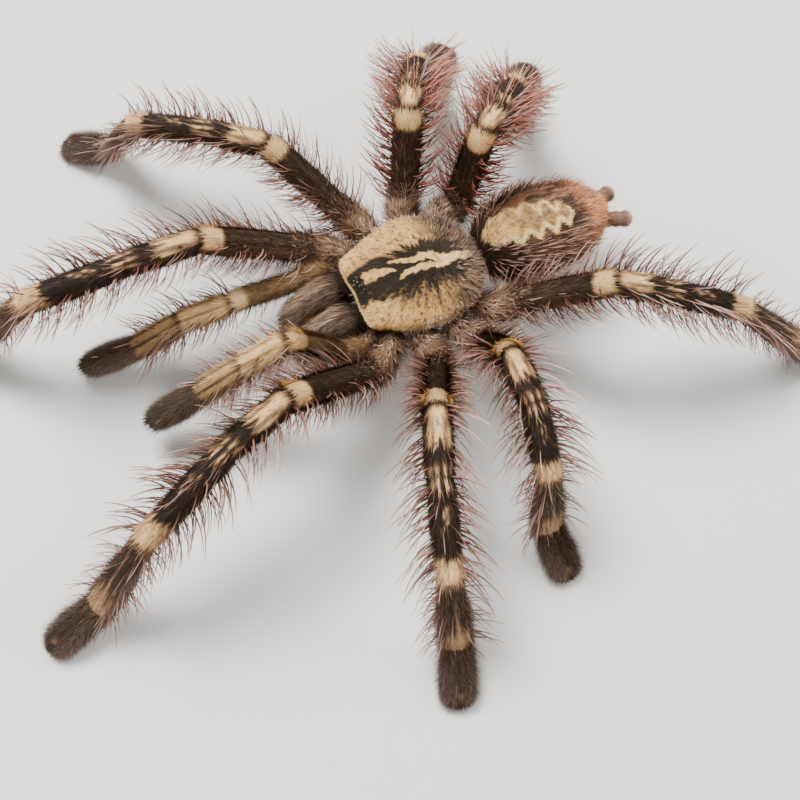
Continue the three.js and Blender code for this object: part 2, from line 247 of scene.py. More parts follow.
carapace_rings = np.array([
    *[body_ellipse((half[0] * share, half[1] * share), height) for half, share, height in BODY_RINGS],
    *[rim_ring(share, height) for share, height in RIM_RINGS],
    *[carapace_ring(share, RIM_TOP + CARAPACE_DOME * math.sqrt(1 - share ** 2.4)) for share in DOME_SHARES],
])
carapace_top = carapace_rings[-1].mean(axis=0)
cephalothorax = skin_over("cephalothorax_skin", carapace_rings, [*CARAPACE_CENTRE, 7.5], carapace_top)

# The markings: rows of a place along Y, the middle of a band there along X, and its half width.
RIGHT_STREAK = [(-3.8, -1.1, 0.05), (-3.2, -1.05, 0.26), (-1.4, -0.7, 0.44), (0, -0.45, 0.5),
                (1.2, -0.4, 0.55), (2.4, -0.3, 0.6), (3.3, 0.2, 0.64), (4.2, 0.8, 0.66), (5.4, 1.15, 0.62),
                (7.0, 1.15, 0.66), (8.2, 1.25, 0.55), (8.7, 1.3, 0.1)]
LEFT_STREAK = [(-3.3, 2.0, 0.05), (-2.8, 1.7, 0.32), (-1.8, 1.2, 0.42), (-0.6, 1.1, 0.48), (0.9, 1.1, 0.55),
               (2.4, 1.2, 0.52), (3.6, 1.6, 0.42), (4.6, 1.65, 0.28), (5.0, 1.6, 0.05)]
HEAD_PATCH = [(-8.3, -0.7, 0.3), (-7.9, -0.65, 0.95), (-7.0, -0.5, 0.95), (-6.0, -0.3, 0.78),
              (-4.6, 0.05, 0.45), (-3.1, 0.4, 0.08)]
EYE_PATCH = [(-9.9, -0.3, 2.3), (-9.2, -0.2, 2.6), (-8.6, 0.2, 2.3), (-8.2, 0.7, 1.6), (-7.9, 1.2, 1.0)]
# The edges of the dark middle patch: a place along Y and the edge's place along X.
DARK_RIGHT_EDGE = [(-9.6, -3.0), (-6.0, -3.1), (-2.0, -3.0), (2.0, -3.4), (4.0, -3.1), (6.0, -2.2),
                   (7.6, -0.8)]
DARK_LEFT_EDGE = [(-9.6, 2.7), (-8.0, 3.0), (-6.0, 3.8), (-4.0, 5.0), (-2.0, 6.2), (0.0, 6.6),
                  (2.0, 6.5), (4.0, 6.1), (6.0, 5.2), (8.0, 3.6)]


def on_band(x, y, rows):
    """1 on a band given by rows of its place along Y, middle and half width, and 0 off it."""
    along, middle, half = np.array(rows).T
    outside = np.abs(x - np.interp(y, along, middle)) - np.interp(y, along, half, left=-1, right=-1)
    return 1 - step_up(outside, -0.1, 0.12)


def carapace_shade(places):
    """How pale the coat is, from 0, black-brown, to 1, ivory."""
    x, y, z = places.T
    shade = 0.81 + 0.14 * (blotches(places, 0.9, 5) - 0.5)
    shade = shade - 0.34 * step_up(blotches(places, 0.27, 6), 0.64, 0.74)
    shade = shade + 0.1 * step_up(-y, 2, 7) * step_up(np.abs(x), 3, 5)
    # The rear turns brown: partly its own brown hair, partly painted shade.
    hind_brown_and_shade = step_up(y + 0.3 * np.abs(x) + 1.8 * (blotches(places, 1.4, 7) - 0.5), 3.6, 7.6)
    shade = shade + (0.27 + 0.3 * (blotches(places, 0.5, 8) - 0.5) - shade) * 0.95 * hind_brown_and_shade
    # Painted shade: the rear rim is darker still, over the stalk.
    shade = shade - 0.2 * step_up(y - 0.4 * x, 7.0, 9.5)
    angle = np.arctan2(y - 1.6, x - 0.6)
    circle = np.stack([np.cos(angle) * 9, np.sin(angle) * 9, 0 * x], axis=-1)
    ray = 0.35 * blotches(circle, 0.9, 3) + 0.65 * blotches(circle, 0.36, 4)
    from_right = x - np.interp(y, *np.array(DARK_RIGHT_EDGE).T) + 3.0 * (ray - 0.55) * step_up(y, -5, -2)
    from_left = np.interp(y, *np.array(DARK_LEFT_EDGE).T) - x + 2.6 * (ray - 0.5) * step_up(y, -5, -2)
    from_left = from_left + 2.2 * (blotches(places, 0.45, 21) - 0.5)
    soft = 0.3 + 1.5 * step_up(y, -7, -3)
    dark = step_up(from_right, -0.1, 0.6) * step_up(from_left, -soft, soft) * step_up(8.8 - y, 0, 1.5)
    tone = 0.09 + 0.46 * step_up(x, 2.7, 6.0) + 0.7 * (0.42 - ray) * step_up(np.abs(x - 0.6), 1.2, 2.8)
    tone = tone + 0.22 * step_up(-y, 3.6, 5.0) * step_up(-x, 0.6, 2.0)
    tone = tone + 0.06 * step_up(y, 5.0, 8.0)
    tone = tone + 0.8 * (blotches(places, 0.3, 20) - 0.5) * step_up(x, 1.8, 4)
    shade = shade + (np.clip(tone, 0.07, 0.66) - shade) * dark
    ragged_x = x + 0.5 * (blotches(places, 0.5, 15) - 0.5)
    ragged_y = y + 0.8 * (blotches(places, 0.5, 16) - 0.5)
    fleck = 0.22 * step_up(blotches(places, 0.3, 18), 0.55, 0.75)
    for rows, paleness in ((RIGHT_STREAK, 0.97), (LEFT_STREAK, 0.98), (HEAD_PATCH, 0.88)):
        shade = shade + (paleness - fleck - shade) * on_band(ragged_x, ragged_y, rows)
    # Pale specks in the dark patch round the eyes are painted glints of the eyes.
    painted_glints = 0.6 * step_up(blotches(places, 0.34, 17), 0.76, 0.84)
    shade = shade + (0.04 + painted_glints - shade) * on_band(x, ragged_y, EYE_PATCH)
    shade = np.where((y < -9.35) & (z < RIM_TOP + 0.45), 0.97, shade)
    return np.clip(np.where(z < CARAPACE_UNDERSIDE, 0.33, shade), 0, 1)


carapace_places = with_ends(carapace_rings)
carapace_is_top = with_ends(np.repeat(
    (np.arange(len(carapace_rings)) >= FIRST_DOME_RING - 2)[:, None].astype(float), CARAPACE_POINTS, axis=1))
write_field(cephalothorax, "shade", carapace_shade(carapace_places))


def linear(hex_colour):
    """An sRGB hex colour as linear red, green, blue and alpha."""
    parts = [int(hex_colour[k:k + 2], 16) / 255 for k in (1, 3, 5)]
    return tuple(c / 12.92 if c <= 0.04045 else ((c + 0.055) / 1.055) ** 2.4 for c in parts) + (1.0,)


def add_node(tree, kind, settings=(), **links):
    """Adds a node, sets its properties and connects or fills its named inputs."""
    node = tree.nodes.new(kind)
    for key, value in dict(settings).items():
        setattr(node, key, value)
    for key, value in links.items():
        socket = node.inputs[int(key[1:])] if key[1:].isdigit() else node.inputs[key.replace("_", " ")]
        if isinstance(value, bpy.types.NodeSocket):
            tree.links.new(value, socket)
        else:
            socket.default_value = value
    return node


def fill_ramp(node, stops):
    """Sets the stops of a colour ramp from pairs of place and hex colour."""
    elements = node.color_ramp.elements
    while len(elements) < len(stops):
        elements.new(0.5)
    for element, (place, colour) in zip(elements, stops):
        element.position = place
        element.color = linear(colour)


def new_material(name):
    """An empty material with its output and a Principled shader."""
    material = bpy.data.materials.new(name)
    material.use_nodes = True
    tree = material.node_tree
    tree.nodes.clear()
    surface = add_node(tree, "ShaderNodeBsdfPrincipled")
    add_node(tree, "ShaderNodeOutputMaterial", Surface=surface.outputs["BSDF"])
    return material, tree, surface


CHITIN_IOR = 1.55


def hair_material(name, stops, root, tip, tip_share, roughness, gloss=0.12):
    """Chitin hair: coloured by its shade across the map and by its length along the map.

    It is darker at the root, a painted shade where neighbours crowd it, and takes on a tip colour as it
    thins.
    """
    material, tree, surface = new_material(name)
    uv = add_node(tree, "ShaderNodeUVMap", {"uv_map": "OFBake"})
    parts = add_node(tree, "ShaderNodeSeparateXYZ", Vector=uv.outputs["UV"])
    ramp = add_node(tree, "ShaderNodeValToRGB", Fac=parts.outputs["X"])
    fill_ramp(ramp, stops)
    # Painted shade: each hair is darkened towards its root, where its neighbours shade it.
    root_shade = add_node(tree, "ShaderNodeValToRGB", Fac=parts.outputs["Y"])
    fill_ramp(root_shade, [(0.0, root), (0.6, "#ffffff")])
    root_shaded = add_node(tree, "ShaderNodeMix", {"data_type": "RGBA", "blend_type": "MULTIPLY"},
                      _0=1.0, _6=ramp.outputs["Color"], _7=root_shade.outputs["Color"])
    thinning = add_node(tree, "ShaderNodeMapRange", Value=parts.outputs["Y"],
                        _1=0.35, _2=1.0, _3=0.0, _4=tip_share)
    tipped = add_node(tree, "ShaderNodeMix", {"data_type": "RGBA"},
                      _0=thinning.outputs["Result"], _6=root_shaded.outputs[2], _7=linear(tip))
    tree.links.new(tipped.outputs[2], surface.inputs["Base Color"])
    surface.inputs["Roughness"].default_value = roughness
    surface.inputs["IOR"].default_value = CHITIN_IOR
    surface.inputs["Specular IOR Level"].default_value = gloss
    return material


def cuticle_material(name, stops, depth, grain_mm):
    """Dry cuticle under the hair: the coat's own shades in painted shade, with fine pits where hairs root."""
    material, tree, surface = new_material(name)
    shade = add_node(tree, "ShaderNodeAttribute", {"attribute_name": "shade"})
    ramp = add_node(tree, "ShaderNodeValToRGB", Fac=shade.outputs["Fac"])
    fill_ramp(ramp, stops)
    place = add_node(tree, "ShaderNodeTexCoord")
    mottle = add_node(tree, "ShaderNodeTexNoise", Vector=place.outputs["Object"],
                      Scale=1 / (grain_mm * MM), Detail=3.0)
    # Painted shade: the cuticle's colour is darkened by the given depth, as if shaded between the hairs.
    shade_between_hairs = add_node(tree, "ShaderNodeMapRange", Value=mottle.outputs["Fac"],
                      _3=depth * 0.7, _4=depth * 1.3)
    mixed = add_node(tree, "ShaderNodeMix", {"data_type": "RGBA", "blend_type": "MULTIPLY"},
                     _0=1.0, _6=ramp.outputs["Color"], _7=shade_between_hairs.outputs["Result"])
    tree.links.new(mixed.outputs[2], surface.inputs["Base Color"])
    pits = add_node(tree, "ShaderNodeTexNoise", Vector=place.outputs["Object"],
                    Scale=1 / (grain_mm * 0.4 * MM), Detail=2.0)
    relief = add_node(tree, "ShaderNodeBump", Height=pits.outputs["Fac"], Strength=0.5,
                      Distance=0.08 * MM)
    tree.links.new(relief.outputs["Normal"], surface.inputs["Normal"])
    surface.inputs["Roughness"].default_value = 0.62
    surface.inputs["IOR"].default_value = CHITIN_IOR
    surface.inputs["Specular IOR Level"].default_value = 0.3
    return material


CREAM_SHADES = [(0.0, "#0f0a06"), (0.2, "#2f2317"), (0.4, "#675037"), (0.6, "#a9814f"),
                (0.8, "#e4b56d"), (0.92, "#f7cf87"), (1.0, "#ffe3ac")]
# Dense and matt, so the coat looks like suede: ivory where pale and a soft black-brown where dark.
carapace_hair = hair_material("cream hair of the carapace", CREAM_SHADES, "#a59784", "#f3e2c6", 0.05, 0.65)
TAN_SHADES = [(0.0, "#1d120c"), (0.3, "#573c2b"), (0.55, "#916a50"), (0.8, "#c09a7c"), (1.0, "#e2c7aa")]
# Longer and silkier, with pale tips, so the tufts look soft and a little frosted.
tan_hair = hair_material("long tan hair round the coxae", TAN_SHADES, "#84776b", "#e0c6ae", 0.25, 0.55)
# Seen only between the hairs: the same colour, darkened as painted shade.
carapace_cuticle = cuticle_material("cuticle of the carapace", CREAM_SHADES, 0.6, 0.5)


def blade_hair(name, width, bend):
    """A flat hair 1 mm long that tapers from its root and bends towards the skin."""
    rows = [(0.0, 1.0), (0.5, 0.85)]
    places = [(side * width * share / 2, -bend * along ** 2, along)
              for along, share in rows for side in (-1, 1)]
    places.append((0, -bend, 1))
    faces = [(0, 1, 3, 2), (2, 3, 4)]
    return hair_object(name, places, faces, [0, 1, 0, 1, 0.5])


def spike_hair(name, width):
    """The simplest hair for a dense short coat: one long triangle, 1 mm high."""
    return hair_object(name, [(-width / 2, 0, 0), (width / 2, 0, 0), (0, 0, 1)], [(0, 1, 2)], [0, 1, 0.5])


def round_hair(name, radius, bend, usual_length):
    """A stiff three-sided bristle 1 mm long, curved towards the skin, with a fine tip.

    Growing stretches it by its length, except across, so its section is flatter here.
    """
    rows = [(0.0, 1.0), (0.25, 1.0), (0.48, 0.92), (0.7, 0.78), (0.88, 0.55)]
    places = []
    for along, share in rows:
        for k in range(3):
            angle = 2 * math.pi * k / 3
            places.append((radius * share * math.cos(angle),
                           -bend * along ** 2 + radius * share * math.sin(angle) / usual_length, along))
    places.append((0, -bend, 1))
    faces = []
    for row in range(len(rows) - 1):
        for k in range(3):
            here, beside = row * 3 + k, row * 3 + (k + 1) % 3
            faces.append((here, beside, beside + 3, here + 3))
    tail = (len(rows) - 1) * 3
    faces += [(tail + k, tail + (k + 1) % 3, len(places) - 1) for k in range(3)]
    return hair_object(name, places, faces, [0, 0.5, 1] * len(rows) + [0.5])


def hair_object(name, places, faces, across):
    """One hair along +Z, kept out of the scene, with its place along and across as fields."""
    mesh = bpy.data.meshes.new(name)
    mesh.from_pydata((np.array(places) * MM).tolist(), [], faces)
    hair = bpy.data.objects.new(name, mesh)
    write_field(hair, "along", np.array(places)[:, 2])
    write_field(hair, "across", np.array(across, float))
    return hair


def coat_tree():
    """Geometry Nodes: hairs on a skin that point along its 'lay' and are as long as its 'reach'.

    A hair curls away from the side that its 'back' faces.
    """
    tree = bpy.data.node_groups.new("hair on a skin", "GeometryNodeTree")
    sockets = [("Geometry", "NodeSocketGeometry"), ("Hair", "NodeSocketObject"),
               ("Hairs per mm2", "NodeSocketFloat"), ("Length spread", "NodeSocketFloat"),
               ("Tangle", "NodeSocketFloat"), ("Shade spread", "NodeSocketFloat"),
               ("Seed", "NodeSocketInt"), ("Material", "NodeSocketMaterial")]
    for name, kind in sockets:
        tree.interface.new_socket(name, in_out="INPUT", socket_type=kind)
    tree.interface.new_socket("Geometry", in_out="OUTPUT", socket_type="NodeSocketGeometry")
    inputs = add_node(tree, "NodeGroupInput").outputs

    def field(name, kind="FLOAT"):
        return add_node(tree, "GeometryNodeInputNamedAttribute", {"data_type": kind}, Name=name).outputs[0]

    def maths(operation, first, second):
        return add_node(tree, "ShaderNodeMath", {"operation": operation}, _0=first, _1=second).outputs[0]

    def chance(low, high, extra):
        seed = maths("ADD", inputs["Seed"], extra)
        return add_node(tree, "FunctionNodeRandomValue", {"data_type": "FLOAT"},
                        _2=low, _3=high, Seed=seed).outputs[1]

    per_m2 = maths("MULTIPLY", inputs["Hairs per mm2"], 1 / MM ** 2)
    spread = add_node(tree, "GeometryNodeDistributePointsOnFaces", Mesh=inputs["Geometry"],
                      Density=maths("MULTIPLY", per_m2, field("cover")), Seed=inputs["Seed"])
    low_shade = maths("MULTIPLY", inputs["Shade spread"], -1.0)
    shade = maths("ADD", field("shade"), chance(low_shade, inputs["Shade spread"], 1.0))
    shade = maths("MINIMUM", maths("MAXIMUM", shade, 0.0), 1.0)
    shaded = add_node(tree, "GeometryNodeStoreNamedAttribute", {"data_type": "FLOAT", "domain": "POINT"},
                      Geometry=spread.outputs["Points"], Name="shade", Value=shade)
    low_tangle = maths("MULTIPLY", inputs["Tangle"], -1.0)
    sway = add_node(tree, "ShaderNodeCombineXYZ", X=chance(low_tangle, inputs["Tangle"], 2.0),
                    Y=chance(low_tangle, inputs["Tangle"], 3.0), Z=chance(low_tangle, inputs["Tangle"], 4.0))
    aim = add_node(tree, "ShaderNodeVectorMath", {"operation": "ADD"},
                   _0=field("lay", "FLOAT_VECTOR"), _1=sway.outputs[0])
    along = add_node(tree, "FunctionNodeAlignRotationToVector", {"axis": "Z"}, Vector=aim.outputs[0])
    turned = add_node(tree, "FunctionNodeAlignRotationToVector", {"axis": "Y", "pivot_axis": "Z"},
                      Rotation=along.outputs[0], Vector=field("back", "FLOAT_VECTOR"))
    shortest = maths("SUBTRACT", 1.0, inputs["Length spread"])
    longest = maths("ADD", 1.0, inputs["Length spread"])
    length = maths("MULTIPLY", field("reach"), chance(shortest, longest, 5.0))
    size = add_node(tree, "ShaderNodeCombineXYZ", X=1.0, Y=length, Z=length)
    hair = add_node(tree, "GeometryNodeObjectInfo", Object=inputs["Hair"])
    placed = add_node(tree, "GeometryNodeInstanceOnPoints", Points=shaded.outputs[0],
                      Instance=hair.outputs["Geometry"], Rotation=turned.outputs[0], Scale=size.outputs[0])
    real = add_node(tree, "GeometryNodeRealizeInstances", Geometry=placed.outputs[0])
    u = maths("ADD", maths("MULTIPLY", field("shade"), 0.97), maths("MULTIPLY", field("across"), 0.02))
    v = maths("ADD", maths("MULTIPLY", field("along"), 0.98), 0.01)
    on_map = add_node(tree, "ShaderNodeCombineXYZ", X=maths("ADD", u, 0.005), Y=v)
    mapped = add_node(tree, "GeometryNodeStoreNamedAttribute", {"data_type": "FLOAT2", "domain": "CORNER"},
                      Geometry=real.outputs[0], Name="OFBake", Value=on_map.outputs[0])
    finished = add_node(tree, "GeometryNodeSetMaterial", Geometry=mapped.outputs[0],
                        Material=inputs["Material"])
    add_node(tree, "NodeGroupOutput", _0=finished.outputs[0])
    return tree


COAT_TREE = coat_tree()
COAT_INPUTS = {s.name: s.identifier for s in COAT_TREE.interface.items_tree if s.in_out == "INPUT"}


TIP_CLEARANCE = 0.08
FLOOR_GAP = 0.02
SHORTEST_REACH = 0.1


def grow(skin, name, hair, material, cover, reach, lay, per_mm2, seed,
         length_spread=0.3, tangle=0.12, shade_spread=0.06, back=None):
    """Grows hair on a skin and returns it as a plain mesh piece that rides with the body.

    Hairs near the floor aim above it, and none goes through it.
    """
    places = np.empty(len(skin.data.vertices) * 3)
    skin.data.vertices.foreach_get("co", places)
    heights = places.reshape(-1, 3)[:, 2] / MM
    lay = unit(lay)
    lay[:, 2] = np.maximum(lay[:, 2], (TIP_CLEARANCE - heights) / np.maximum(reach, SHORTEST_REACH))
    write_field(skin, "cover", cover)
    write_field(skin, "reach", reach)
    write_field(skin, "lay", lay)
    write_field(skin, "back", point_normals(skin) if back is None else back)
    modifier = skin.modifiers.new("coat", "NODES")
    modifier.node_group = COAT_TREE
    values = {"Hair": hair, "Hairs per mm2": float(per_mm2), "Length spread": length_spread,
              "Tangle": tangle, "Shade spread": shade_spread, "Seed": seed, "Material": material}
    for key, value in values.items():
        modifier[COAT_INPUTS[key]] = value
    graph = bpy.context.evaluated_depsgraph_get()
    mesh = bpy.data.meshes.new_from_object(skin.evaluated_get(graph), preserve_all_data_layers=True,
                                           depsgraph=graph)
    skin.modifiers.remove(modifier)
    for key in ("cover", "reach", "lay", "back", "along", "across", "shade"):
        if key in mesh.attributes:
            mesh.attributes.remove(mesh.attributes[key])
    above = np.empty(len(mesh.vertices) * 3, dtype=np.float32)
    mesh.vertices.foreach_get("co", above)
    above = above.reshape(-1, 3)
    above[:, 2] = np.maximum(above[:, 2], FLOOR_GAP * MM)
    mesh.vertices.foreach_set("co", above.ravel())
    mesh.name = name
    piece = bpy.data.objects.new(name, mesh)
    bpy.context.scene.collection.objects.link(piece)
    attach(piece, "root")
    return piece


# Real hairs of the coat are 0.02 to 0.05 mm thick, which is too fine to show, so these are
# fewer and two to four times as thick.
SHORT_HAIR = spike_hair("short hair", 0.15)
FELT_HAIR = spike_hair("felt hair", 0.14)
PAD_HAIR = spike_hair("pad hair", 0.1)
DOWN_HAIR = spike_hair("down hair", 0.08)
LONG_HAIR = blade_hair("long hair", 0.11, 0.25)
BRISTLE = round_hair("bristle", 0.095, 0.42, 4.5)
FINE_BRISTLE = round_hair("fine bristle", 0.062, 0.35, 2.4)

cephalothorax.data.materials.append(carapace_cuticle)
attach(cephalothorax, "root")
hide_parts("cephalothorax")

carapace_normals = point_normals(cephalothorax)
fan = unit(carapace_places - [0.4, PIT_Y - 0.5, 0] - carapace_places * [0, 0, 1])
fan_lay = fan + carapace_normals * 0.42
margin_share = np.clip(np.hypot(carapace_places[:, 0] / 9.7, (carapace_places[:, 1] + 0.5) / 10.3), 0, 1)
at_eyes = bump_at(carapace_places[:, 0], 0, 2.2) * step_up(-carapace_places[:, 1], 7.9, 8.6)
hind_share = step_up(carapace_places[:, 1] + 0.2 * np.abs(carapace_places[:, 0]), 5.0, 9.5)
felt_reach = 0.52 + 0.4 * hind_share - 0.2 * at_eyes
felt = grow(cephalothorax, "cephalothorax_felt", FELT_HAIR, carapace_hair,
            carapace_is_top * (1 - 0.4 * at_eyes) * (1 - 0.5 * hind_share), felt_reach, fan_lay,
            per_mm2=125, seed=11, tangle=0.2, shade_spread=0.13)
right_rim = 0.06 * step_up(-carapace_places[:, 0], 4, 8)
at_rim = step_up(margin_share + right_rim, 0.86, 0.93) * step_up(carapace_places[:, 1], -7, -1)
fringe_patch = 0.7 * (blotches(carapace_places, 1.0, 19) - 0.5)
stalk_shade = step_up(carapace_places[:, 1] - 0.4 * carapace_places[:, 0], 6.0, 9.5)
# At the rear the fringe is browner, partly its own colour and partly painted shade, and darkest over the
# stalk, where the darkening is painted shade.
write_field(cephalothorax, "shade", 0.6 + fringe_patch - 0.2 * hind_share - 0.26 * stalk_shade
            + 0.18 * step_up(-carapace_places[:, 1], -2, 5))
fringe = grow(cephalothorax, "cephalothorax_fringe", LONG_HAIR, tan_hair,
              carapace_is_top * np.maximum(0.8 * at_rim, hind_share), 1.0 + 0.7 * hind_share,
              fan + carapace_normals * (0.35 + 0.25 * hind_share)[:, None],
              per_mm2=26, seed=12, tangle=0.4, shade_spread=0.3)
at_core = step_up(carapace_places[:, 2], 8.4, 9.4) * (1 - step_up(margin_share, 0.66, 0.75))
write_field(cephalothorax, "shade", 0.34 + 0.22 * at_core)
sternum_coat = grow(cephalothorax, "cephalothorax_sternum_coat", LONG_HAIR, tan_hair,
                    (1 - carapace_is_top) * (0.5 + 0.5 * at_core), 1.3 + 2.4 * at_core,
                    np.array([0, 0.8, 0]) * (1 - at_core)[:, None] + carapace_normals * 0.6,
                    per_mm2=20, seed=13, tangle=0.4, shade_spread=0.25)
write_field(cephalothorax, "shade", carapace_shade(carapace_places))

# ----------------------------------------------------------------------------------------------
# Eyes: eight small lenses in four pairs, on the mound behind the carapace's front edge. They are
# clear cuticle over dark pigment and grow as part of the carapace.
# ----------------------------------------------------------------------------------------------

# Places of the left lenses along X and Y, and their radii.
EYES = [(0.42, -9.25, 0.3), (1.12, -9.5, 0.24), (1.3, -8.85, 0.22), (0.8, -8.5, 0.17)]
EYES_MIDDLE_X = -0.4
LENS_RISE = 0.45
LENS_SIDES = 12


def carapace_height(x, y):
    """The height of the carapace's surface at a place."""
    top = carapace_rings[FIRST_DOME_RING:].reshape(-1, 3)
    return top[np.argmin(np.hypot(top[:, 0] - x, top[:, 1] - y)), 2]


def join_meshes(name, parts):
    """One mesh object from a list of pairs of points in mm and faces."""
    places, faces, count = [], [], 0
    for part_places, part_faces in parts:
        places.append(np.asarray(part_places, float))
        faces += [tuple(i + count for i in face) for face in part_faces]
        count += len(part_places)
    mesh = bpy.data.meshes.new(name)
    mesh.from_pydata(((np.concatenate(places) + BODY_MIDDLE) * MM).tolist(), [], faces)
    mesh.shade_smooth()
    piece = bpy.data.objects.new(name, mesh)
    bpy.context.scene.collection.objects.link(piece)
    return piece


def tube(places, radii, sides):
    """Points and faces of a closed round tube along a path, with a radius for each place."""
    places = np.asarray(places, float)
    along = unit(np.gradient(places, axis=0))
    side = unit(np.cross([0.31, 0.17, 0.94], along))
    up = np.cross(along, side)
    angle = 2 * math.pi * np.arange(sides) / sides
    rings = (places[:, None] + np.asarray(radii)[:, None, None]
             * (np.cos(angle)[None, :, None] * side[:, None] + np.sin(angle)[None, :, None] * up[:, None]))
    points = np.concatenate([rings.reshape(-1, 3), [places[0]], [places[-1]]])
    faces = []
    for ring in range(len(places) - 1):
        for i in range(sides):
            here, beside = ring * sides + i, ring * sides + (i + 1) % sides
            faces.append((here, beside, beside + sides, here + sides))
    start, end = len(points) - 2, len(points) - 1
    tail = (len(places) - 1) * sides
    faces += [(start, (i + 1) % sides, i) for i in range(sides)]
    faces += [(tail + i, tail + (i + 1) % sides, end) for i in range(sides)]
    return points, faces


def bead(centre, radius):
    """Points and faces of a small dome-shaped lens, as a short tube with a rounded profile."""
    turns = np.linspace(-math.pi / 2, math.pi / 2, 9)[1:-1]
    path = [np.asarray(centre) + [0, 0, radius * math.sin(t)] for t in turns]
    points, faces = tube(path, [radius * math.cos(t) for t in turns], LENS_SIDES)
    points[-2] = np.asarray(centre) - [0, 0, radius]
    points[-1] = np.asarray(centre) + [0, 0, radius]
    return points, faces


eye_parts = []
for eye_x, eye_y, eye_radius in EYES:
    for mirror in (-1, 1):
        eye_place = (mirror * eye_x + EYES_MIDDLE_X, eye_y)
        eye_parts.append(bead([*eye_place, carapace_height(*eye_place) + eye_radius * LENS_RISE], eye_radius))
eyes = join_meshes("eyes", eye_parts)
# Smooth and wet-looking: sharp small highlights on black.
lens, _, lens_surface = new_material("clear lens over black pigment")
lens_surface.inputs["Base Color"].default_value = linear("#0b0807")
lens_surface.inputs["Roughness"].default_value = 0.08
lens_surface.inputs["IOR"].default_value = 1.5
lens_surface.inputs["Coat Weight"].default_value = 0.6
eyes.data.materials.append(lens)
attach(eyes, "root")

# ----------------------------------------------------------------------------------------------
# Chelicerae: two stout lobes hinged under the front edge of the carapace. Each is one piece of
# thick cuticle with grey-brown hair brushed forward along it.
# ----------------------------------------------------------------------------------------------

CHELICERA_X = 2.72
CHELICERA_MIDDLE_HEIGHT = 11
JAW_RINGS = 48
JAW_SIDES = 40
# Rows of a place along Y, the middle's height, and the half width and half height there.
CHELICERA_STATIONS = np.array([
    (-9.4, 11.9, 2.2, 1.5), (-10.4, 12.0, 2.5, 1.7), (-11.4, 12.6, 2.5, 2.4),
    (-13.4, 12.6, 2.4, 2.95), (-15.6, 11.6, 2.4, 2.95), (-17.6, 10.3, 2.2, 2.55),
    (-18.9, 9.4, 1.5, 1.8), (-19.4, 9.0, 0.3, 0.35),
])
GREY_SHADES = [(0.0, "#120c09"), (0.3, "#3b2b22"), (0.6, "#7b604a"), (0.85, "#ae9074"), (1.0, "#d0b394")]
# Brushed straight, so it shines along the lobe in soft streaks, grey-brown with pale tips.
jaw_hair = hair_material("brushed grey hair of the jaws", GREY_SHADES, "#7f7469", "#c2a68c", 0.2, 0.5)
# Seen only between the hairs, darkened as painted shade.
jaw_cuticle = cuticle_material("cuticle of the jaws", GREY_SHADES, 0.6, 0.5)

JAW_HAIR = blade_hair("jaw hair", 0.12, 0.1)


def stretched(stations, count):
    """Stations along a piece, filled in smoothly to a given number."""
    have = np.linspace(0, 1, len(stations))
    want = np.linspace(0, 1, count)
    filled = np.stack([np.interp(want, have, column) for column in stations.T], axis=-1)
    padded = np.pad(filled, ((2, 2), (0, 0)), mode="edge")
    kernel = np.array([1, 3, 4, 3, 1]) / 12
    smooth = np.stack([np.convolve(column, kernel, mode="valid") for column in padded.T], axis=-1)
    smooth[0], smooth[-1] = filled[0], filled[-1]
    return smooth


for side, sign in (("left", 1), ("right", -1)):
    stations = stretched(CHELICERA_STATIONS, JAW_RINGS)
    angle = 2 * math.pi * np.arange(JAW_SIDES) / JAW_SIDES
    rings = np.stack([
        sign * CHELICERA_X + stations[:, 2:3] * np.cos(angle),
        np.repeat(stations[:, 0:1], JAW_SIDES, axis=1),
        stations[:, 1:2] + stations[:, 3:4] * np.sin(angle),
    ], axis=-1)
    chelicera = skin_over(f"chelicera_{side}_skin", rings, rings[0].mean(axis=0), rings[-1].mean(axis=0))
    places = with_ends(rings)
    comb = with_ends(np.repeat(unit(np.gradient(rings.mean(axis=1), axis=0))[:, None], JAW_SIDES, axis=1))
    around = np.arctan2(places[:, 2] - CHELICERA_MIDDLE_HEIGHT, places[:, 0] - sign * CHELICERA_X)
    streak = blotches(np.stack([np.cos(around) * 8, np.sin(around) * 8, 0 * around], axis=-1), 0.9, 21)
    grey = 0.42 + 0.8 * (streak - 0.5) + 0.12 * np.sin(around)
    # Painted shadow: each chelicera is darkened towards its base, under the carapace's front edge.
    write_field(chelicera, "shade", np.clip(grey * (0.2 + 0.8 * step_up(-places[:, 1], 10.4, 13.0)), 0, 1))
    chelicera.data.materials.append(jaw_cuticle)
    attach(chelicera, "root")
    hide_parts(f"chelicera_{side}")
    normals = point_normals(chelicera)
    cover = step_up(-places[:, 1], 10.6, 11.6)
    reach = 2.2 + 0.9 * step_up(-places[:, 1], 16, 19)
    brush = grow(chelicera, f"chelicera_{side}_brush", JAW_HAIR, jaw_hair, cover, reach,
                 comb + normals * 0.34, per_mm2=30, seed=31 + sign, tangle=0.16, shade_spread=0.2)

# ----------------------------------------------------------------------------------------------
# Fangs: one curved hollow horn, hinged at the end of each chelicera and folded back under it.
# Hard black cuticle, dark red where it thins, polished by use.
# ----------------------------------------------------------------------------------------------

FANG_RINGS = 28
FANG_SIDES = 20
# Rows of a place along Y, a height, and the radius there.
FANG_STATIONS = np.array([
    (-18.4, 6.9, 0.85), (-18.8, 5.8, 0.8), (-18.7, 4.7, 0.68), (-18.1, 3.8, 0.52),
    (-17.2, 3.1, 0.36), (-16.2, 2.6, 0.2), (-15.4, 2.4, 0.04),
])
